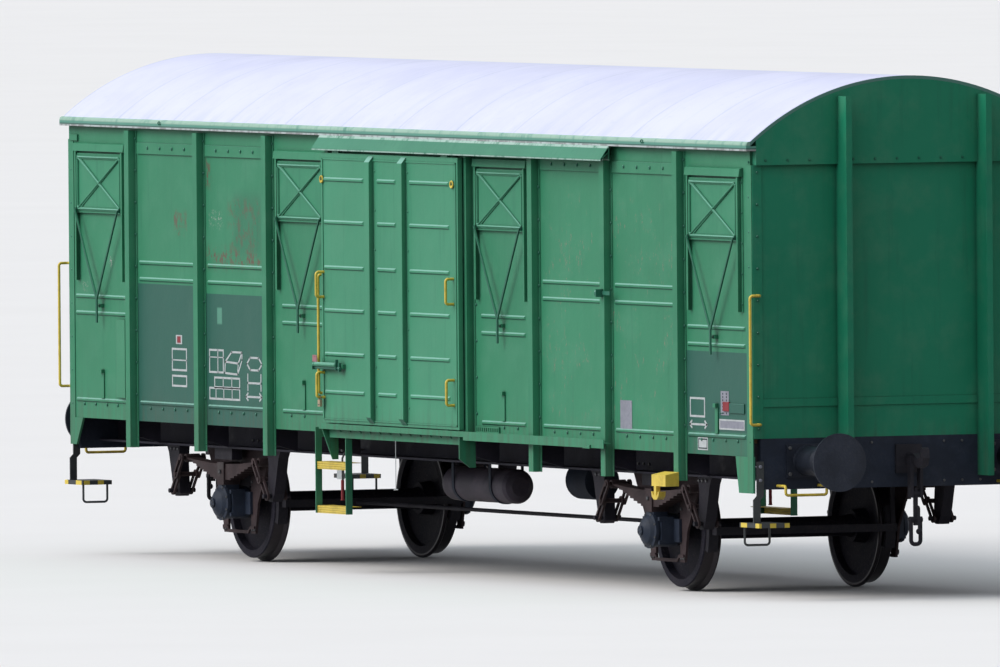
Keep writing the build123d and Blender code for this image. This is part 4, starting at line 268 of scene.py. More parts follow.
def body_paint(name, base, worn=False, streaks=0.35, gloss=0.28, lips=None, rods=False):
    """The body's green paint. lips are heights of two paler edges, and with rods, whatever stands proud of
    the hatch is darker except on its upper faces, as painted shade.
    """
    s = Shader(name)
    broad = s.noise(0.55, 3.0)
    cloud = s.noise(3.2, 5.0, 0.6)
    fleck = s.noise(46.0, 3.0, 0.7)
    run = s.noise(1.0, 5.0, 0.65, stretch=(16, 16, 0.9))
    _, out_y, up = s.facing()
    color = s.mix(s.step(broad, 0.35, 0.68), base, shade(base, 1.12))
    color = s.mix(s.both(s.step(cloud, 0.42, 0.72), 0.35), color, CHALKED_GREEN)
    color = s.mix(s.both(s.step(run, 0.52, 0.78), streaks), color, STREAK_GREEN)
    if worn:
        color = wear(s, color, cloud, out_y)
    # Upper slopes of the pressed beads and ribs get a painted highlight, and their undersides get painted
    # shade
    slope = s.window(s.math("ABSOLUTE", out_y), 0.35, 0.92, 0.03)
    slope = s.both(slope, s.step(s.z, 3.34 + RAIL, 3.32 + RAIL))
    color = s.mix(s.both(slope, s.step(up, 0.15, 0.45), 0.75), color, PAINTED_HIGHLIGHT_GREEN)
    color = s.mix(s.both(slope, s.step(up, -0.15, -0.45), 0.65), color, PAINTED_SHADE_GREEN)
    chips = s.both(s.step(fleck, 0.70, 0.76), s.step(cloud, 0.52, 0.60))
    color = s.mix(s.both(chips, 0.8), color, RUST)
    low = s.both(s.step(s.z, 1.45, 1.10), s.step(run, 0.38, 0.66))
    color = s.mix(s.both(low, 0.35), color, DUST)
    # Painted shade, darker in corners and gaps
    color = s.mix(s.both(s.crevice(0.06), 0.55), color, PAINTED_CREVICE_SHADE)
    # Painted shade on the hatch rods and other proud parts, except their upper faces
    if rods:
        proud = s.step(s.math("ABSOLUTE", s.y), 1.354, 1.357)
        color = s.mix(s.both(proud, s.step(up, 0.6, 0.2), 0.75), color, PAINTED_ROD_SHADE)
    # Paler bands along the two lip edges
    if lips:
        low_lip, high_lip = lips
        edges = s.most(s.step(s.z, high_lip - 0.004, high_lip), s.step(s.z, low_lip + 0.003, low_lip))
        color = s.mix(s.both(edges, s.step(run, 0.75, 0.45), 0.85), color, LIP_GREEN)
    rough = s.math("ADD", 0.42, s.both(cloud, 0.25))
    dent = s.math("ADD", s.both(s.noise(1.6, 2.0), 4.0), s.both(s.noise(30.0, 3.0), 0.25))
    return s.done(color, rough, bump=dent, height=0.004, specular=gloss)


def cornice_paint(name):
    """Light green roll with a painted highlight along its top, a dark joint and a white drip edge under it.
    """
    s = Shader(name)
    cloud = s.noise(2.6, 5.0, 0.6)
    run = s.noise(1.0, 4.0, 0.6, stretch=(10, 10, 1.0))
    color = s.mix(cloud, (0.070, 0.270, 0.190, 1), (0.110, 0.320, 0.240, 1))
    color = s.mix(s.both(s.step(run, 0.55, 0.75), 0.4), color, (0.035, 0.190, 0.130, 1))
    height = s.math("SUBTRACT", s.z, CORNICE_Z)
    # A painted highlight along the top of the roll
    ridge = s.both(s.step(height, 0.036, 0.048), s.step(run, 0.80, 0.45))
    color = s.mix(s.both(ridge, 0.85), color, (0.360, 0.520, 0.400, 1))
    color = s.mix(s.window(height, 0.014, 0.024, 0.002), color, (0.030, 0.110, 0.085, 1))
    white, bare = (0.50, 0.54, 0.52, 1), (0.27, 0.27, 0.26, 1)
    edge = s.step(height, 0.0145, 0.0125)
    color = s.mix(edge, color, s.mix(s.step(run, 0.4, 0.6), white, bare))
    return s.done(color, 0.45, bump=s.both(s.noise(2.0), 3.0), height=0.003)


def roof_paint(name):
    """Lavender white sheets with a dirty line on each joint, and green ends."""
    sheet_length = 1.07
    s = Shader(name)
    cloud = s.noise(1.4, 5.0, 0.62)
    fine = s.noise(11.0, 6.0, 0.7)
    run = s.noise(1.0, 5.0, 0.65, stretch=(9, 0.7, 0.7))
    base, dull = (0.680, 0.668, 0.810, 1), (0.625, 0.615, 0.760, 1)
    color = s.mix(s.step(cloud, 0.35, 0.70), base, dull)
    color = s.mix(s.both(s.step(run, 0.50, 0.72), 0.22), color, (0.4950, 0.5250, 0.6300, 1))
    color = s.mix(s.both(s.step(fine, 0.58, 0.72), 0.20), color, (0.4050, 0.4350, 0.5100, 1))
    sheet = s.math("FRACT", s.math("DIVIDE", s.x, sheet_length))
    place = s.math("ABSOLUTE", s.math("SUBTRACT", sheet, 0.5))
    seam = s.step(place, 0.487, 0.496)
    color = s.mix(s.both(seam, 0.30), color, (0.3900, 0.4200, 0.4950, 1))
    dirt = s.both(s.step(place, 0.44, 0.50), s.step(fine, 0.4, 0.65), 0.2)
    color = s.mix(dirt, color, (0.5100, 0.5400, 0.6300, 1))
    edge = s.step(s.math("ABSOLUTE", s.y), 1.20, 1.36)
    color = s.mix(s.both(edge, s.step(run, 0.35, 0.65), 0.3), color, (0.4500, 0.4800, 0.5550, 1))
    end_face = s.step(s.math("ABSOLUTE", s.facing()[0]), 0.7, 0.9)
    color = s.mix(end_face, color, (0.120, 0.260, 0.210, 1))
    bump = s.math("ADD", s.both(fine, 0.5), s.both(seam, 1.2))
    return s.done(color, s.math("ADD", 0.55, s.both(cloud, 0.2)), bump=bump, height=0.003, specular=0.3)


def dark_metal(name, base, dusty, dust=0.5, rough=0.6, metallic=0.0):
    """Dark painted or bare metal with dust and oil."""
    s = Shader(name)
    cloud = s.noise(4.0, 5.0, 0.6)
    grit = s.noise(55.0, 4.0, 0.7)
    oil = s.noise(2.3, 4.0, 0.6, shift=(3.1, 1.7, 0.4))
    color = s.mix(s.step(cloud, 0.35, 0.7), base, shade(base, 1.7))
    color = s.mix(s.both(s.step(grit, 0.45, 0.7), s.step(cloud, 0.4, 0.65), dust), color, dusty)
    color = s.mix(s.both(s.step(oil, 0.60, 0.72), 0.6), color, shade(base, 0.5))
    roughness = s.math("SUBTRACT", rough + 0.1, s.both(s.step(oil, 0.58, 0.72), 0.3))
    return s.done(color, roughness, metallic, bump=grit, height=0.0015, specular=0.25)


def wheel_metal(name):
    """Dirty wheels, with a smoother tread that shines a little."""
    s = Shader(name)
    cloud = s.noise(5.0, 5.0, 0.6)
    grit = s.noise(60.0, 4.0, 0.7)
    color = s.mix(s.step(cloud, 0.35, 0.7), (0.0090, 0.0088, 0.0175, 1), (0.0195, 0.0165, 0.0240, 1))
    color = s.mix(s.both(s.step(grit, 0.5, 0.7), 0.5), color, (0.0700, 0.0560, 0.0640, 1))
    # How far a point is from its own axle, in the plane of the wheel
    along = s.math("SUBTRACT", s.math("ABSOLUTE", s.x), AXLE_X)
    up = s.math("SUBTRACT", s.z, AXLE_Z)
    away = s.math("SQRT", s.math("ADD", s.both(along, along), s.both(up, up)))
    tread = s.step(away, TREAD_RADIUS - 0.0025, TREAD_RADIUS - 0.0015)
    color = s.mix(tread, color, (0.034, 0.030, 0.034, 1))
    rough = s.math("SUBTRACT", 0.72, s.both(tread, 0.40))
    return s.done(color, rough, s.both(tread, 0.6), grit, 0.001, specular=0.2)


def yellow_paint(name, treads=False):
    """Worn yellow paint, on treads with a grid of raised dots."""
    s = Shader(name)
    cloud = s.noise(9.0, 5.0, 0.6)
    chip = s.noise(70.0, 4.0, 0.7)
    color = s.mix(s.step(cloud, 0.35, 0.7), SAFETY_YELLOW, WORN_YELLOW)
    worn = s.both(s.step(chip, 0.60, 0.66), s.step(cloud, 0.45, 0.6))
    color = s.mix(s.both(worn, 0.8), color, linear("5C4A2E", 0.90))
    bump, height = chip, 0.0006
    if treads:
        per_metre = 180.0
        lines = s.math("ABSOLUTE", s.math("SINE", s.both(s.x, per_metre)))
        rows = s.math("ABSOLUTE", s.math("SINE", s.both(s.math("ADD", s.y, s.z), per_metre)))
        grid = s.both(lines, rows)
        color = s.mix(s.both(s.step(grid, 0.35, 0.05), 0.5), color, linear("6E5F30", 0.90))
        bump, height = grid, 0.003
    return s.done(color, s.math("ADD", 0.35, s.both(cloud, 0.3)), bump=bump, height=height)


def step_paint(name):
    """Dark steps whose outer edge has yellow stripes."""
    s = Shader(name)
    cloud = s.noise(9.0, 5.0, 0.6)
    color = s.mix(cloud, linear("20242A"), linear("3A3D3C"))
    out_x, out_y = s.math("ABSOLUTE", s.x), s.math("ABSOLUTE", s.y)
    rim = s.most(
        s.step(out_y, 1.3275, 1.329), s.step(out_x, 6.4975, 6.499), s.step(out_x, 6.1525, 6.151)
    )
    # Stripes along X on the long edge, and along Y on the ends
    lines = s.math("SUBTRACT", s.both(out_x, 1 / 0.26), s.both(out_y, 1 / 0.125))
    stripe = s.math("FRACT", s.math("ADD", lines, 100.0))
    edge = s.both(rim, s.window(s.z, 0.568, 0.607, 0.001), s.window(stripe, 0.10, 0.52, 0.02))
    color = s.mix(edge, color, SAFETY_YELLOW)
    return s.done(color, 0.55, bump=s.noise(60.0), height=0.0008)


def plain_paint(name, code, gain=0.62, rough=0.5):
    """One colour with faint clouds, for marks, plates and small things."""
    s = Shader(name)
    cloud = s.noise(20.0, 5.0, 0.65)
    base = linear(code, gain)
    color = s.mix(s.step(cloud, 0.35, 0.7), base, shade(base, 0.82))
    return s.done(color, s.math("ADD", rough, s.both(cloud, 0.2)), bump=cloud, height=0.0004)


def boards(name):
    """Floor boards laid across the van."""
    board_width = 0.14
    s = Shader(name)
    grain = s.noise(1.0, 6.0, 0.65, stretch=(3, 60, 60))
    place = s.math("FRACT", s.math("DIVIDE", s.x, board_width))
    gap = s.most(s.step(place, 0.03, 0.0), s.step(place, 0.97, 1.0))
    color = s.mix(grain, linear("6B5138", 0.90), linear("94754F", 0.90))
    color = s.mix(gap, color, linear("1E150E", 0.90))
    return s.done(color, 0.75, bump=s.math("SUBTRACT", s.both(grain, 0.3), gap), height=0.004)


HOOD_LIPS = (3.340 + RAIL, 3.431 + RAIL)
SIDE = body_paint("side_green", SUNLIT_SIDE_GREEN, worn=True)
TRIM = body_paint("trim_green", (0.0370, 0.2200, 0.1120, 1))
HOOD = body_paint("hood_green", (0.0480, 0.2100, 0.1250, 1), lips=HOOD_LIPS)
HATCH = body_paint("hatch_green", (0.0400, 0.2350, 0.1220, 1), rods=True)
DOOR = body_paint("door_green", (0.0580, 0.2720, 0.1480, 1))
# The end walls, gables and end posts take the deeper copy of the green, as painted shade
END = body_paint("end_green_shaded", SHADED_END_GREEN, streaks=0.5, gloss=0.25)
EDGE = cornice_paint("cornice_green")
ROOF = roof_paint("roof_lavender_white")
BOARDS = boards("floor_boards")
# Name, colour, colour of the dust, how much dust, then how rough and how metallic
FRAME = dark_metal("frame_blue_black", (0.0128, 0.0169, 0.0284, 1), (0.0459, 0.0486, 0.0567, 1), 0.45)
SOLEBAR = dark_metal("solebar_brown_black", (0.0140, 0.0125, 0.0205, 1), (0.036, 0.031, 0.036, 1), 0.6)
SPRING = dark_metal("spring_brown", (0.0340, 0.0215, 0.0225, 1), (0.078, 0.050, 0.045, 1), 0.6)
GUARD = dark_metal("guard_brown", (0.0320, 0.0200, 0.0215, 1), (0.074, 0.046, 0.042, 1), 0.5)
BRACKET = dark_metal("bracket_blue_black", (0.0110, 0.0095, 0.0145, 1), (0.034, 0.025, 0.026, 1), 0.5)
BOX = dark_metal("axlebox_blue_grey", (0.0180, 0.0236, 0.0382, 1), (0.0540, 0.0562, 0.0675, 1), 0.35, 0.45)
BRAKE = dark_metal("brake_black", (0.0144, 0.0132, 0.0180, 1), (0.0540, 0.0408, 0.0384, 1), 0.6)
TANK = dark_metal("tank_brown_black", (0.0459, 0.0370, 0.0485, 1), (0.1084, 0.0816, 0.0765, 1), 0.5, 0.5)
WHEEL = wheel_metal("wheel_rust")
BUFFER = dark_metal("buffer_grease", (0.0150, 0.0180, 0.0270, 1), (0.0600, 0.0600, 0.0660, 1), 0.3, 0.4, 0.3)
YELLOW = yellow_paint("safety_yellow")
TREAD = yellow_paint("tread_yellow", treads=True)
STEP = step_paint("striped_step")
WHITE = plain_paint("marking_white", "F2F4F2")
GREY = plain_paint("plate_grey", "B6B4C0")
RED = plain_paint("marking_red", "B4303A", 0.6)
TAG = plain_paint("tag_pink", "D08A90")
PADLOCK = plain_paint("padlock_brass", "DCC09A", 0.66)
PLATE_DARK = plain_paint("plate_dark", "2A3A3C", 0.8, 0.6)
BOLT = body_paint("bolt_green", (0.0250, 0.1500, 0.0950, 1), streaks=0.2)
# The end bolts are a darker copy of the bolt green, as painted shade
END_BOLT = body_paint("end_bolt_green_shaded", (0.0100, 0.1200, 0.0700, 1), streaks=0.2, gloss=0.25)
STEEL = dark_metal("bolt_steel", linear("4E4E50", 0.90), linear("7C7468", 0.75), 0.5, 0.45, 0.4)

NODE_PAINT = {
    SIDE: ("side_near_left", "side_near_right", "side_far_left", "side_far_right"),
    TRIM: ("posts_near", "posts_far", "door_headers", "door_sills", "door_rails")
    + ("hatch_guides_near", "hatch_guides_far", "door_steps"),
    HOOD: ("hoods",),
    DOOR: ("door_near", "door_far"),
    HATCH: tuple(f"hatch_{side}_{name}" for side in SIDES for name in HATCH_NAMES),
    END: ("end_wall_left", "end_wall_right", "gables", "end_posts"),
    EDGE: ("cornices",),
    ROOF: ("roof",),
    BOARDS: ("floor",),
    FRAME: ("headstocks", "tank_straps", "brake_cylinder"),
    SOLEBAR: ("solebars", "centre_sills", "cross_members", "outriggers"),
    SPRING: ("leaf_springs", "spring_links"),
    BRACKET: ("spring_brackets",),
    GUARD: ("axle_guards",),
    BOX: ("axleboxes",),
    BRAKE: ("brake_rigging", "draw_hooks", "screw_couplings"),
    TANK: ("air_reservoir",),
    WHEEL: ("wheels_left", "wheels_right", "axle_left", "axle_right"),
    BUFFER: ("buffer_casings", "buffer_plungers"),
    YELLOW: ("grab_rails", "buffer_handles", "rope_hooks", "door_handles_near", "door_handles_far"),
    TREAD: ("door_step_treads",),
    STEP: ("corner_steps",),
    BOLT: ("door_stops",),
}
for material, names in NODE_PAINT.items():
    for name in names:
        NODES[name].data.materials.clear()
        NODES[name].data.materials.append(material)


def spread(start, end, pitch):
    """Even places from start to end, about this far apart."""
    count = max(1, round(abs(end - start) / pitch))
    return [start + (end - start) * i / count for i in range(count + 1)]


def circle(count, radius, start=0.0):
    """Even places on a circle: across and up from its middle."""
    angles = [start + 2 * math.pi * i / count for i in range(count)]
    return [(radius * math.cos(a), radius * math.sin(a)) for a in angles]


def square_to(way):
    """The way itself and two ways square to it, each 1 long."""
    way = Vector(way).normalized()
    across = way.orthogonal().normalized()
    return way, across, way.cross(across)


def tube_faces(rings, sides, closed=False):
    """Faces between rings of points that follow each other."""
    faces = []
    for r in range(rings if closed else rings - 1):
        here, there = r * sides, (r + 1) % rings * sides
        for i in range(sides):
            j = (i + 1) % sides
            faces.append((here + i, here + j, there + j, there + i))
    return faces


class Piece:
    """Collects small shapes, in frame metres, into one mesh that rides on a body."""

    def __init__(self):
        self.bm = bmesh.new()

    def add(self, points, faces):
        verts = [self.bm.verts.new(p) for p in points]
        for face in faces:
            self.bm.faces.new([verts[i] for i in face])

    def box(self, low, high):
        (x0, y0, z0), (x1, y1, z1) = low, high
        points = [(x, y, z) for x in (x0, x1) for y in (y0, y1) for z in (z0, z1)]
        faces = ((0, 1, 3, 2), (4, 6, 7, 5), (0, 4, 5, 1), (2, 3, 7, 6), (0, 2, 6, 4), (1, 5, 7, 3))
        self.add(points, faces)

    def plate(self, u0, u1, z0, z1, rise=0.0009):
        """A thin plate or a painted mark on the near wall, heights above the rail."""
        self.box((u0, -WALL_Y - rise, z0 + RAIL), (u1, -WALL_Y + SINK / 2, z1 + RAIL))

    def outline(self, u0, u1, z0, z1, width=0.016, rise=0.0009):
        """The outline of a marking on the near wall."""
        self.plate(u0, u1, z0, z0 + width, rise)
        self.plate(u0, u1, z1 - width, z1, rise)
        self.plate(u0, u0 + width, z0 + width, z1 - width, rise)
        self.plate(u1 - width, u1, z0 + width, z1 - width, rise)

    def stroke(self, points, width, rise=0.0009):
        """A painted line of this width through places (u, height above the rail) on the near wall."""
        for (u0, z0), (u1, z1) in zip(points, points[1:]):
            length = math.hypot(u1 - u0, z1 - z0)
            du, dz = (u1 - u0) / length * width / 2, (z1 - z0) / length * width / 2
            corners = ((u0 - du - dz, z0 - dz + du), (u0 - du + dz, z0 - dz - du))
            corners += ((u1 + du + dz, z1 + dz - du), (u1 + du - dz, z1 + dz + du))
            front = [(u, -WALL_Y - rise, z + RAIL) for u, z in corners]
            back = [(u, -WALL_Y + SINK / 2, z + RAIL) for u, z in corners]
            self.add(front + back, [(3, 2, 1, 0), (4, 5, 6, 7), *tube_faces(2, 4)])

    def bolt(self, at, out=OUT, size=0.011, height=0.009, sides=6):
        """A bolt head with a chamfer, standing on a face that looks along out."""
        out, across, other = square_to(out)
        points = []
        for reach, rise in ((1.0, 0.0), (1.0, 0.7), (0.72, 1.0)):
            for a, b in circle(sides, size * reach):
                points.append(Vector(at) + out * (height * rise) + across * a + other * b)
        self.add(points, [*tube_faces(3, sides), tuple(range(2 * sides, 3 * sides))])

    def rod(self, points, radius, sides=8):
        """A round rod along straight runs."""
        points = [Vector(p) for p in points]
        first, across, _ = square_to(points[1] - points[0])
        rings = []
        for i, point in enumerate(points):
            before = (point - points[i - 1]).normalized() if i else first
            after = (points[i + 1] - point).normalized() if i + 1 < len(points) else before
            along = (before + after).normalized()
            across = (across - along * across.dot(along)).normalized()
            other = along.cross(across)
            # A ring at a bend is wider, so that the runs keep their thickness
            wide = radius / max(0.5, along.dot(before)) if 0 < i < len(points) - 1 else radius
            rings += [point + across * a + other * b for a, b in circle(sides, wide)]
        ends = [tuple(reversed(range(sides))), tuple(range(len(rings) - sides, len(rings)))]
        self.add(rings, tube_faces(len(points), sides) + ends)

    def ring(self, at, out, radius, wire, parts=14, sides=6):
        """A ring of round wire about the axis out."""
        out, across, other = square_to(out)
        points = []
        for x, y in circle(parts, 1.0):
            arm = across * x + other * y
            points += [Vector(at) + arm * (radius + a) + out * b for a, b in circle(sides, wire)]
        self.add(points, tube_faces(parts, sides, closed=True))

    def done(self, name, material, body="van", slot=None, turn=True, flip=False, bevel=0.0):
        """Make the piece. With turn, the far side's copy is in the same mesh. flip moves it there."""
        if flip:
            bmesh.ops.rotate(self.bm, verts=self.bm.verts[:], cent=(0, 0, 0), matrix=HALF_TURN)
        if turn:
            everything = self.bm.verts[:] + self.bm.edges[:] + self.bm.faces[:]
            extra = bmesh.ops.duplicate(self.bm, geom=everything)
            moved = [v for v in extra["geom"] if isinstance(v, bmesh.types.BMVert)]
            bmesh.ops.rotate(self.bm, verts=moved, cent=(0, 0, 0), matrix=HALF_TURN)
        bmesh.ops.recalc_face_normals(self.bm, faces=self.bm.faces[:])
        mesh = bpy.data.meshes.new(name)
        self.bm.to_mesh(mesh)
        self.bm.free()
        mesh.materials.append(material)
        piece = link(bpy.data.objects.new(name, mesh))
        if bevel:
            edge = piece.modifiers.new("soft_edges", "BEVEL")
            edge.width = bevel
            edge.segments = 2
        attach(piece, body)


# How far the bolted plate at the head of each plain bay stands out of the wall
BAND_RISE = 0.0125


def lap_plates():
    """The bolted plate at the head of each plain bay, over the folded edge of the sheet."""
    bands = Piece()
    half_width, low, high = 0.570, 3.238 + RAIL, 3.328 + RAIL
    for sign in BOTH_WAYS:
        for middle in PLAIN_BAYS:
            x = sign * middle
            bands.box((x - half_width, -WALL_Y - BAND_RISE, low), (x + half_width, -WALL_Y + SINK, high))
    bands.done("lap_plates", SIDE, slot="body_green", bevel=0.002)


def side_bolts():
    """Bolts along the posts, the plates, the hatches and the corners, and eyes on the cornice."""
    bolts = Piece()
    for post in [sign * x for sign in BOTH_WAYS for x in POSTS]:
        for side in (-0.0565, 0.0565):
            for z in spread(1.30, 3.36, 0.27):
                bolts.bolt((post + side, -FLANGE_Y, z + RAIL))
    # Beside the door posts, and near the corners
    for column, low, high in ((1.372, 1.30, 3.30), (6.34, 1.20, 3.36)):
        for x in (-column, column):
            for z in spread(low, high, 0.27):
                bolts.bolt((x, -WALL_Y, z + RAIL), size=0.010)
    # Along the foot of the wall, and on the plates at its head
    for sign in BOTH_WAYS:
        for middle in PLAIN_BAYS:
            for shift in (-0.355, -0.118, 0.118, 0.355):
                bolts.bolt((sign * (middle + shift), -WALL_Y, 1.192 + RAIL), size=0.012)
                bolts.bolt((sign * (middle + shift), -WALL_Y - BAND_RISE, 3.287 + RAIL), size=0.013)
        for x in (6.113, 5.895, 5.672, 5.466, 1.87, 2.12):
            bolts.bolt((sign * x, -WALL_Y, 1.200 + RAIL), size=0.012)
    for centre in HATCHES:
        for side in (-0.478, 0.478):
            for z in spread(2.26, 3.20, 0.235):
                bolts.bolt((centre + side, -FLANGE_Y, z + RAIL), size=0.008, height=0.007)
        bolts.bolt((centre, -WALL_Y - 0.030, 2.00 + RAIL), size=0.012, height=0.010)
    for x in (-4.472, 4.567):
        bolts.box((x - 0.020, -1.390, 3.478 + RAIL), (x + 0.020, -1.380, 3.490 + RAIL))
        bolts.ring((x, -1.390, 3.494 + RAIL), (0.5, -1, 0), 0.011, 0.005)
    bolts.done("side_bolts", BOLT, slot="body_green")


def end_bolts():
    """Rows of bolts up the edges of the end walls and across the foot of the gables."""
    bolts = Piece()
    for way in BOTH_WAYS:
        for y in (-1.28, 1.28):
            for z in spread(1.30, 3.28, 0.26):
                bolts.bolt((way * (END_X + 0.008), y, z + RAIL), (way, 0, 0), 0.010)
        for y in spread(-1.22, 1.22, 0.195):
            # None where the end posts stand
            if abs(y + way * 0.59) > 0.07 and abs(y - way * 0.61) > 0.07:
                bolts.bolt((way * GABLE_X, y, 3.372 + RAIL), (way, 0, 0), 0.010)
    bolts.done("end_bolts", END_BOLT, slot="body_green", turn=False)


def door_edges(side, body, far):
    """The lips round a door, the bolts in its ribs and the rings at its top corners."""
    edge_x, edge_low, edge_high, lip = 1.252, 1.195, 3.270, 0.012
    lips = Piece()
    for x0, x1, z0, z1 in (
        (-edge_x, -edge_x + lip, edge_low, edge_high),
        (-edge_x, edge_x, edge_high - lip, edge_high),
        (edge_x - lip, edge_x, edge_low, edge_high),
        (-edge_x, edge_x, edge_low, edge_low + 0.010),
    ):
        lips.box((x0, -DOOR_Y - 0.006, z0 + RAIL), (x1, -DOOR_Y + SINK, z1 + RAIL))
    for x in (-0.452, -0.262, 0.160, 0.352):
        for z in spread(1.32, 3.18, 0.31):
            lips.bolt((x, -DOOR_Y, z + RAIL), size=0.008, height=0.006)
    lips.done(f"door_lips_{side}", DOOR, body, "body_green", turn=False, flip=far)
    rings = Piece()
    for x in (-1.250, 1.190):
        rings.ring((x, -1.446, 3.10 + RAIL), OUT, 0.026, 0.006)
        rings.box((x - 0.012, -1.446, 3.078 + RAIL), (x + 0.012, -DOOR_Y + SINK, 3.092 + RAIL))
    rings.done(f"door_rings_{side}", YELLOW, body, "safety_yellow", turn=False, flip=far)


def padlock(side, body, far):
    """A padlock that hangs on the lower bar of the door's left handle."""
    lock = Piece()
    lock.box((-1.261, -1.488, 1.296 + RAIL), (-1.219, -1.466, 1.350 + RAIL))
    for x in (-1.259, -1.233):
        lock.box((x, -1.484, 1.345 + RAIL), (x + 0.012, -1.470, 1.354 + RAIL))
    lock.done(f"padlock_body_{side}", PADLOCK, body, turn=False, flip=far)
    shackle = Piece()
    shackle.ring((-1.240, -1.477, 1.364 + RAIL), OUT, 0.021, 0.004)
    shackle.box((-1.254, -1.4895, 1.308 + RAIL), (-1.226, -1.487, 1.316 + RAIL))
    shackle.done(f"door_padlock_{side}", STEEL, body, turn=False, flip=far)


def door_latch(side, body, far):
    """The latch bar under its round cover, with end plates and a blank tag."""
    cover_y, cover_z, cover_radius = -1.488, 1.632 + RAIL, 0.018
    bar_y, bar_z, bar_radius = -1.478, 1.606 + RAIL, 0.012
    cover = Piece()
    cover.rod([(-1.325, cover_y, cover_z), (-0.900, cover_y, cover_z)], cover_radius)
    for x in (-1.322, -0.930):
        cover.rod([(x, cover_y, cover_z), (x + 0.022, cover_y, cover_z)], cover_radius + 0.0025)
    cover.done(f"latch_cover_{side}", DOOR, body, "body_green", turn=False, flip=far)
    latch = Piece()
    latch.rod([(-1.318, bar_y, bar_z), (-0.850, bar_y, bar_z)], bar_radius)
    latch.box((-1.331, -1.504, 1.590 + RAIL), (-1.322, -1.466, 1.652 + RAIL))
    latch.box((-0.903, -1.500, 1.590 + RAIL), (-0.894, -1.474, 1.676 + RAIL))
    latch.box((-0.885, -1.484, 1.580 + RAIL), (-0.862, -1.464, 1.650 + RAIL))
    latch.done(f"latch_bar_{side}", BOLT, body, "body_green", turn=False, flip=far)
    tag = Piece()
    tag.box((-1.350, -1.4895, 1.644 + RAIL), (-1.272, -1.486, 1.705 + RAIL))
    tag.bolt((-1.311, -1.4895, 1.692 + RAIL), size=0.006, height=0.003)
    tag.done(f"latch_tag_{side}", TAG, body, turn=False, flip=far)


def shutter_ridges(side, name, centre):
    """Rounded ridges on the pressed frame and cross of a shutter."""
    half_width, corner, radius, y = 0.413, 0.02, 0.009, -1.3505
    low, high = 2.778 + RAIL, 3.196 + RAIL
    left, right = centre - half_width, centre + half_width
    # Places where a run starts or ends near a corner
    left_in, right_in, low_in, high_in = left + corner, right - corner, low + corner, high - corner
    ridge = Piece()
    for run in (
        ((left_in, low), (right_in, low), (right, low_in), (right, high_in)),
        ((right_in, high), (left_in, high), (left, high_in), (left, low_in)),
        ((right, high_in), (right_in, high)),
        ((left, low_in), (left_in, low)),
        ((left, low), (right, high)),
        ((left, high), (right, low)),
    ):
        ridge.rod([(x, y, z) for x, z in run], radius)
    far = side == "far"
    # The far side's shutters are the near ones turned, so their order runs the other way
    place = HATCH_NAMES[3 - HATCH_NAMES.index(name)] if far else name
    body = f"shutter_{side}_{place}"
    ridge.done(f"shutter_ridges_{side}_{place}", DOOR, body, "body_green", turn=False, flip=far)


def gear_bolts():
    """Bolts and rivets of the axleboxes, guards, springs and solebars."""
    gear = Piece()
    for axle in (-AXLE_X, AXLE_X):
        for dx, dz in circle(8, 0.130, math.pi / 8):
            gear.bolt((axle + dx, -1.088, AXLE_Z + dz), size=0.010, height=0.010)
        for dx, dz in circle(4, 0.024, 0.4):
            gear.bolt((axle + dx, -1.166, AXLE_Z + dz), size=0.006, height=0.006)
        for side in BOTH_WAYS:
            # Tie bars and feet of the guards, their heads, and the feet of the brackets
            for dx, y, z in (
                (0.252, -0.920, 0.236),
                (0.292, -0.920, 0.236),
                (0.250, -0.920, 0.62),
                (0.250, -0.920, 0.74),
                (0.300, -0.920, 0.80),
                (0.30, -0.930, 0.955),
                (0.40, -0.930, 0.955),
                (0.50, -0.930, 0.955),
                (0.87, -1.060, 0.86),
                (0.93, -1.060, 0.86),
                (1.00, -1.060, 0.86),
            ):
                gear.bolt((axle + side * dx, y, z + RAIL), size=0.013, height=0.012)
        gear.bolt((axle, -1.089, 0.700 + RAIL), size=0.018, height=0.014)
    gear.done("gear_bolts", STEEL)


def headstock_bolts():
    """Bolts of the buffers' feet and casings, and rivets along the headstocks."""
    foot_x, casing_x = 6.410, 6.722
    heads = Piece()
    for way in BOTH_WAYS:
        out = (way, 0, 0)
        for y in (-BUFFER_Y, BUFFER_Y):
            for dy in (-0.145, 0.145):
                for dz in (-0.100, 0.100):
                    heads.bolt((way * foot_x, y + dy, BUFFER_Z + dz), out, 0.016, 0.014)
            for dy, dz in circle(8, 0.098):
                heads.bolt((way * casing_x, y + dy, BUFFER_Z + dz), out, 0.007, 0.006)
        for y in spread(-0.62, 0.62, 0.155):
            if abs(y) > 0.2:
                for z in (0.875, 1.180):
                    heads.bolt((way * END_X, y, z + RAIL), out, 0.011, 0.009)
    heads.done("headstock_bolts", STEEL, turn=False)


def hanger_bolts():
    """The bright bolts of the step hangers."""
    hanging = Piece()
    for way in BOTH_WAYS:
        for side in BOTH_WAYS:
            for z in (0.905, 1.010):
                hanging.bolt((way * 6.402, side * 1.270, z + RAIL), (way, 0, 0), 0.014, 0.010)
                hanging.bolt((way * 6.396, side * 1.300, z + RAIL), (0, side, 0), 0.005, 0.008)
    hanging.done("hanger_bolts", GREY, turn=False)


# Markings: left, right, low and high of each bare frame
MARK_FRAMES = (
    (-4.41, -4.12, 1.505, 1.690),
    (-4.41, -4.12, 1.378, 1.474),
    (-3.69, -3.41, 1.505, 1.698),
    (5.255, 5.525, 1.370, 1.525),
    (-3.595, -3.10, 1.385, 1.478),
    (-3.69, -3.10, 1.292, 1.394),
)
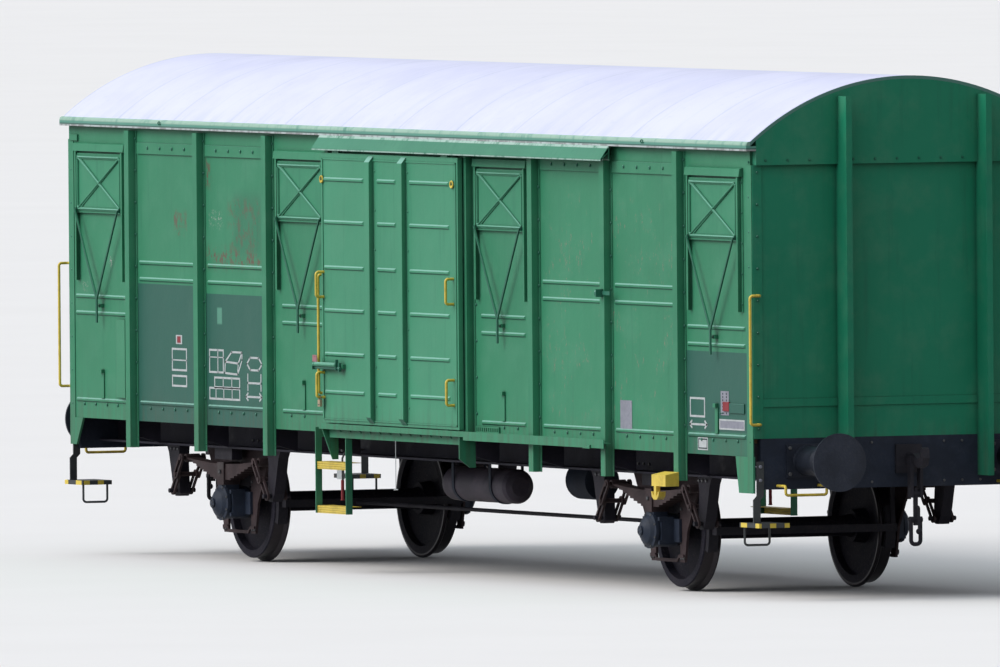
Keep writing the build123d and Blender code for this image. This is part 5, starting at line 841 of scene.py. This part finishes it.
# The same for the bars in them
MARK_BARS = (
    (-3.530, -3.516, 1.505, 1.698),
    (-3.69, -3.41, 1.628, 1.637),
    (-4.41, -4.12, 1.588, 1.598),
    (-3.430, -3.417, 1.394, 1.470),
    (-3.265, -3.252, 1.394, 1.470),
    (-3.570, -3.557, 1.300, 1.386),
    (-3.420, -3.407, 1.300, 1.386),
    (-3.260, -3.247, 1.300, 1.386),
)
# The same for each outline of strokes, then its strokes as shares of that box
CUBE = (-3.39, -3.06, 1.503, 1.680)
TRACK = (-2.950, -2.700, 1.385, 1.508)
LONG_ARROW = (-2.990, -2.685, 1.296, 1.364)
SHORT_ARROW = (5.250, 5.560, 1.290, 1.340)
HEXAGON = (-2.966, -2.680, 1.544, 1.643)
MARK_STROKES = (
    (CUBE, ((0, 0.04), (0.75, 0), (1, 0.65), (1, 1), (0.40, 1), (0.03, 0.55), (0, 0.04))),
    (CUBE, ((0.03, 0.55), (0.78, 0.50), (0.75, 0))),
    (CUBE, ((0.78, 0.50), (1, 1))),
    (HEXAGON, ((0, 0.5), (0.22, 1), (0.78, 1), (1, 0.5), (0.78, 0), (0.22, 0), (0, 0.5))),
    (TRACK, ((0, 0), (0, 1))),
    (TRACK, ((1, 0), (1, 1))),
    (TRACK, ((0, 0.45), (1, 0.45))),
    (LONG_ARROW, ((0, 0.5), (1, 0.5))),
    (LONG_ARROW, ((0.13, 0.9), (0, 0.5), (0.13, 0.1))),
    (LONG_ARROW, ((0.87, 0.9), (1, 0.5), (0.87, 0.1))),
    (SHORT_ARROW, ((0, 0.5), (1, 0.5))),
    (SHORT_ARROW, ((0.12, 1), (0, 0.5), (0.12, 0))),
    (SHORT_ARROW, ((0.88, 1), (1, 0.5), (0.88, 0))),
)


def white_marks():
    """Markings as bare frames, bars and outlines."""
    marks = Piece()
    for place in MARK_FRAMES:
        marks.outline(*place)
    for place in MARK_BARS:
        marks.plate(*place)
    for (u0, u1, z0, z1), line in MARK_STROKES:
        marks.stroke([(u0 + (u1 - u0) * a, z0 + (z1 - z0) * b) for a, b in line], 0.016)
    marks.plate(5.394, 5.573, 1.118, 1.218, 0.0015)
    marks.plate(-4.327, -4.211, 1.722, 1.795, 0.0015)
    marks.outline(5.785, 6.235, 1.285, 1.366, 0.012, 0.0025)
    marks.done("white_marks", WHITE)


def plates():
    """Blank grey plates, two columns of dark dots on one, and the dark frame on a white plate."""
    rise = 0.003
    grey = Piece()
    grey.plate(4.00, 4.21, 1.216, 1.470, rise)
    grey.plate(5.812, 5.957, 1.396, 1.583, rise)
    grey.plate(5.797, 6.223, 1.297, 1.354, 0.002)
    for u in (4.012, 4.198):
        for z in (1.232, 1.456):
            grey.bolt((u, -WALL_Y - rise, z + RAIL), size=0.005, height=0.003)
    grey.done("grey_plates", GREY, bevel=0.001)
    dots = Piece()
    for u in (5.850, 5.915):
        for k in range(7):
            dots.bolt((u, -WALL_Y - 0.0025, 1.412 + 0.025 * k + RAIL), size=0.009, height=0.002)
    dots.outline(5.404, 5.563, 1.128, 1.208, 0.010, 0.0022)
    dots.done("plate_marks", PLATE_DARK)


def labels():
    """Green clips for labels near the right corner, and two red marks."""
    clips = Piece()
    clips.plate(5.974, 6.242, 1.416, 1.490, 0.010)
    clips.plate(5.800, 5.866, 1.410, 1.416, 0.010)
    clips.done("label_clips", SIDE, slot="body_green", bevel=0.002)
    reds = Piece()
    reds.plate(5.866, 5.974, 1.429, 1.500, 0.012)
    reds.plate(-4.303, -4.235, 1.732, 1.785, 0.0022)
    reds.done("red_marks", RED)


def pull_wire():
    """A brake pull wire with its grip, under the door rail."""
    x, y, low, high = -0.015, -1.387, 0.668 + RAIL, 1.056 + RAIL
    wire = Piece()
    wire.rod([(x, y, high), (x, y, low)], 0.0032)
    wire.rod([(x - 0.035, y, low - 0.004), (x + 0.035, y, low)], 0.0045)
    wire.done("pull_wire", WHITE)


def rail_flaps():
    """A wedge at the end of the door rail, and a small flap at the head of the left bay."""
    tip, heel, low, high = 3.58, 3.72, 1.086 + RAIL, 1.114 + RAIL
    wedge = [(tip, -1.447, low + 0.004), (heel, -1.447, high + 0.004), (heel, -1.447, low + 0.004)]
    wedge += [(tip, -1.4595, low), (heel, -1.4595, high), (heel, -1.4595, low)]
    flaps = Piece()
    flaps.add(wedge, ((0, 1, 2), (5, 4, 3), (0, 3, 4, 1), (1, 4, 5, 2), (2, 5, 3, 0)))
    flaps.box((-6.35, -1.334, 3.325 + RAIL), (-6.20, -WALL_Y + SINK, 3.375 + RAIL))
    flaps.done("rail_flaps", TRIM, slot="body_green", bevel=0.002)


def reversing_lever():
    """The lever behind the door step, with a red grip and a blank plate."""
    x, root_y, bend_y, out_y, top = -1.60, -0.925, -1.085, -1.118, 0.935 + RAIL
    lever = Piece()
    lever.rod(
        [(x, root_y, top), (x, bend_y, top), (x, out_y, 0.870 + RAIL), (x, out_y, 0.680 + RAIL)], 0.008
    )
    lever.bolt((x, out_y, top), size=0.016, height=0.010)
    lever.done("reversing_lever", STEEL)
    grip = Piece()
    grip.rod([(x, out_y, 0.695 + RAIL), (-1.592, -1.122, 0.535 + RAIL)], 0.014)
    grip.ring((-1.592, -1.122, 0.538 + RAIL), (0, 0, 1), 0.014, 0.004)
    grip.done("lever_grip", RED)
    sign = Piece()
    sign.box((-1.720, -1.112, 0.700 + RAIL), (-1.590, -1.106, 0.800 + RAIL))
    for bolt_x in (-1.705, -1.615):
        sign.bolt((bolt_x, -1.112, 0.785 + RAIL), size=0.006, height=0.004)
    sign.done("lever_plate", WHITE)


lap_plates()
side_bolts()
end_bolts()
for side in SIDES:
    for fitting in (door_edges, padlock, door_latch):
        fitting(side, f"sliding_door_{side}", side == "far")
for side in SIDES:
    for name, centre in zip(HATCH_NAMES, HATCHES):
        shutter_ridges(side, name, centre)
gear_bolts()
headstock_bolts()
hanger_bolts()
white_marks()
plates()
labels()
pull_wire()
rail_flaps()
reversing_lever()

# Floor, far wider than the view, because the camera looks along it. It's pale to the camera and
# dark to the object, which stands on dark ground in the photograph.
REACH = 3000.0
floor_mesh = bpy.data.meshes.new("ground")
floor_mesh.from_pydata(
    [(-REACH, -REACH, 0), (REACH, -REACH, 0), (REACH, REACH, 0), (-REACH, REACH, 0)], [], [(0, 1, 2, 3)]
)
ground = link(bpy.data.objects.new("ground", floor_mesh))
floor = Shader("ground_pale")
tone = floor.mix(floor.noise(0.4, 3.0), (0.82, 0.77, 0.73, 1), (0.86, 0.81, 0.77, 1))
pale = floor.add("ShaderNodeBsdfDiffuse", Color=tone).outputs[0]
dark = floor.add("ShaderNodeBsdfDiffuse", Color=(0.10, 0.10, 0.09, 1)).outputs[0]
floor_choice = floor.feed_all(floor.add("ShaderNodeMixShader"), floor.in_view(), dark, pale)
floor.add("ShaderNodeOutputMaterial", Surface=floor_choice)
floor_mesh.materials.append(floor.mat)

# Sun from the left and in front of the near side
TOWARD_SUN = Vector((-0.20, -0.85, 0.72)).normalized()
sun = link(bpy.data.objects.new("sun", bpy.data.lights.new("sun", "SUN")))
sun.data.energy = 1.35
sun.data.angle = math.radians(32.0)
sun.data.color = (1.0, 0.965, 0.91)
sun.rotation_mode = "QUATERNION"
sun.rotation_quaternion = TOWARD_SUN.to_track_quat("Z", "Y")

# The sky is brightest on the sun's side. The camera sees a plain pale backdrop.
world = bpy.data.worlds.new("sky")
bpy.context.scene.world = world
sky = Nodes(world)
toward = sky.add("ShaderNodeVectorMath", {"operation": "DOT_PRODUCT"})
sky.feed_all(toward, sky.add("ShaderNodeTexCoord").outputs["Generated"], TOWARD_SUN)
glow = sky.math("POWER", sky.math("MAXIMUM", toward.outputs["Value"], 0.0), 2.0)
strength = sky.math("ADD", sky.both(glow, 1.75), 0.33)
light = sky.add("ShaderNodeBackground", Color=(0.80, 0.89, 1.0, 1), Strength=strength).outputs[0]
shown = sky.add("ShaderNodeBackground", Color=(0.86, 0.87, 0.89, 1)).outputs[0]
choice = sky.feed_all(sky.add("ShaderNodeMixShader"), sky.in_view(), light, shown)
sky.add("ShaderNodeOutputWorld", Surface=choice)

# Camera, fitted to the photograph: the ways that its picture runs to the right and up, the way
# back from the van, and its place
camera = link(bpy.data.objects.new("camera", bpy.data.cameras.new("camera")))
camera.data.sensor_width = 36.0
camera.data.lens = 1080.0
camera.data.clip_start = 10.0
camera.data.clip_end = 12000.0
right = Vector((0.42472, 0.905291, -0.007763))
up = Vector((-0.021804, 0.018801, 0.999585))
back = Vector((0.905062, -0.424375, 0.027724))
place = Vector((214.8236, -101.2045, 8.4946))
columns = zip(right, up, back, place)
camera.matrix_world = Matrix([*columns, (0, 0, 0, 1)])
bpy.context.scene.camera = camera
bpy.context.scene.view_settings.view_transform = "Standard"
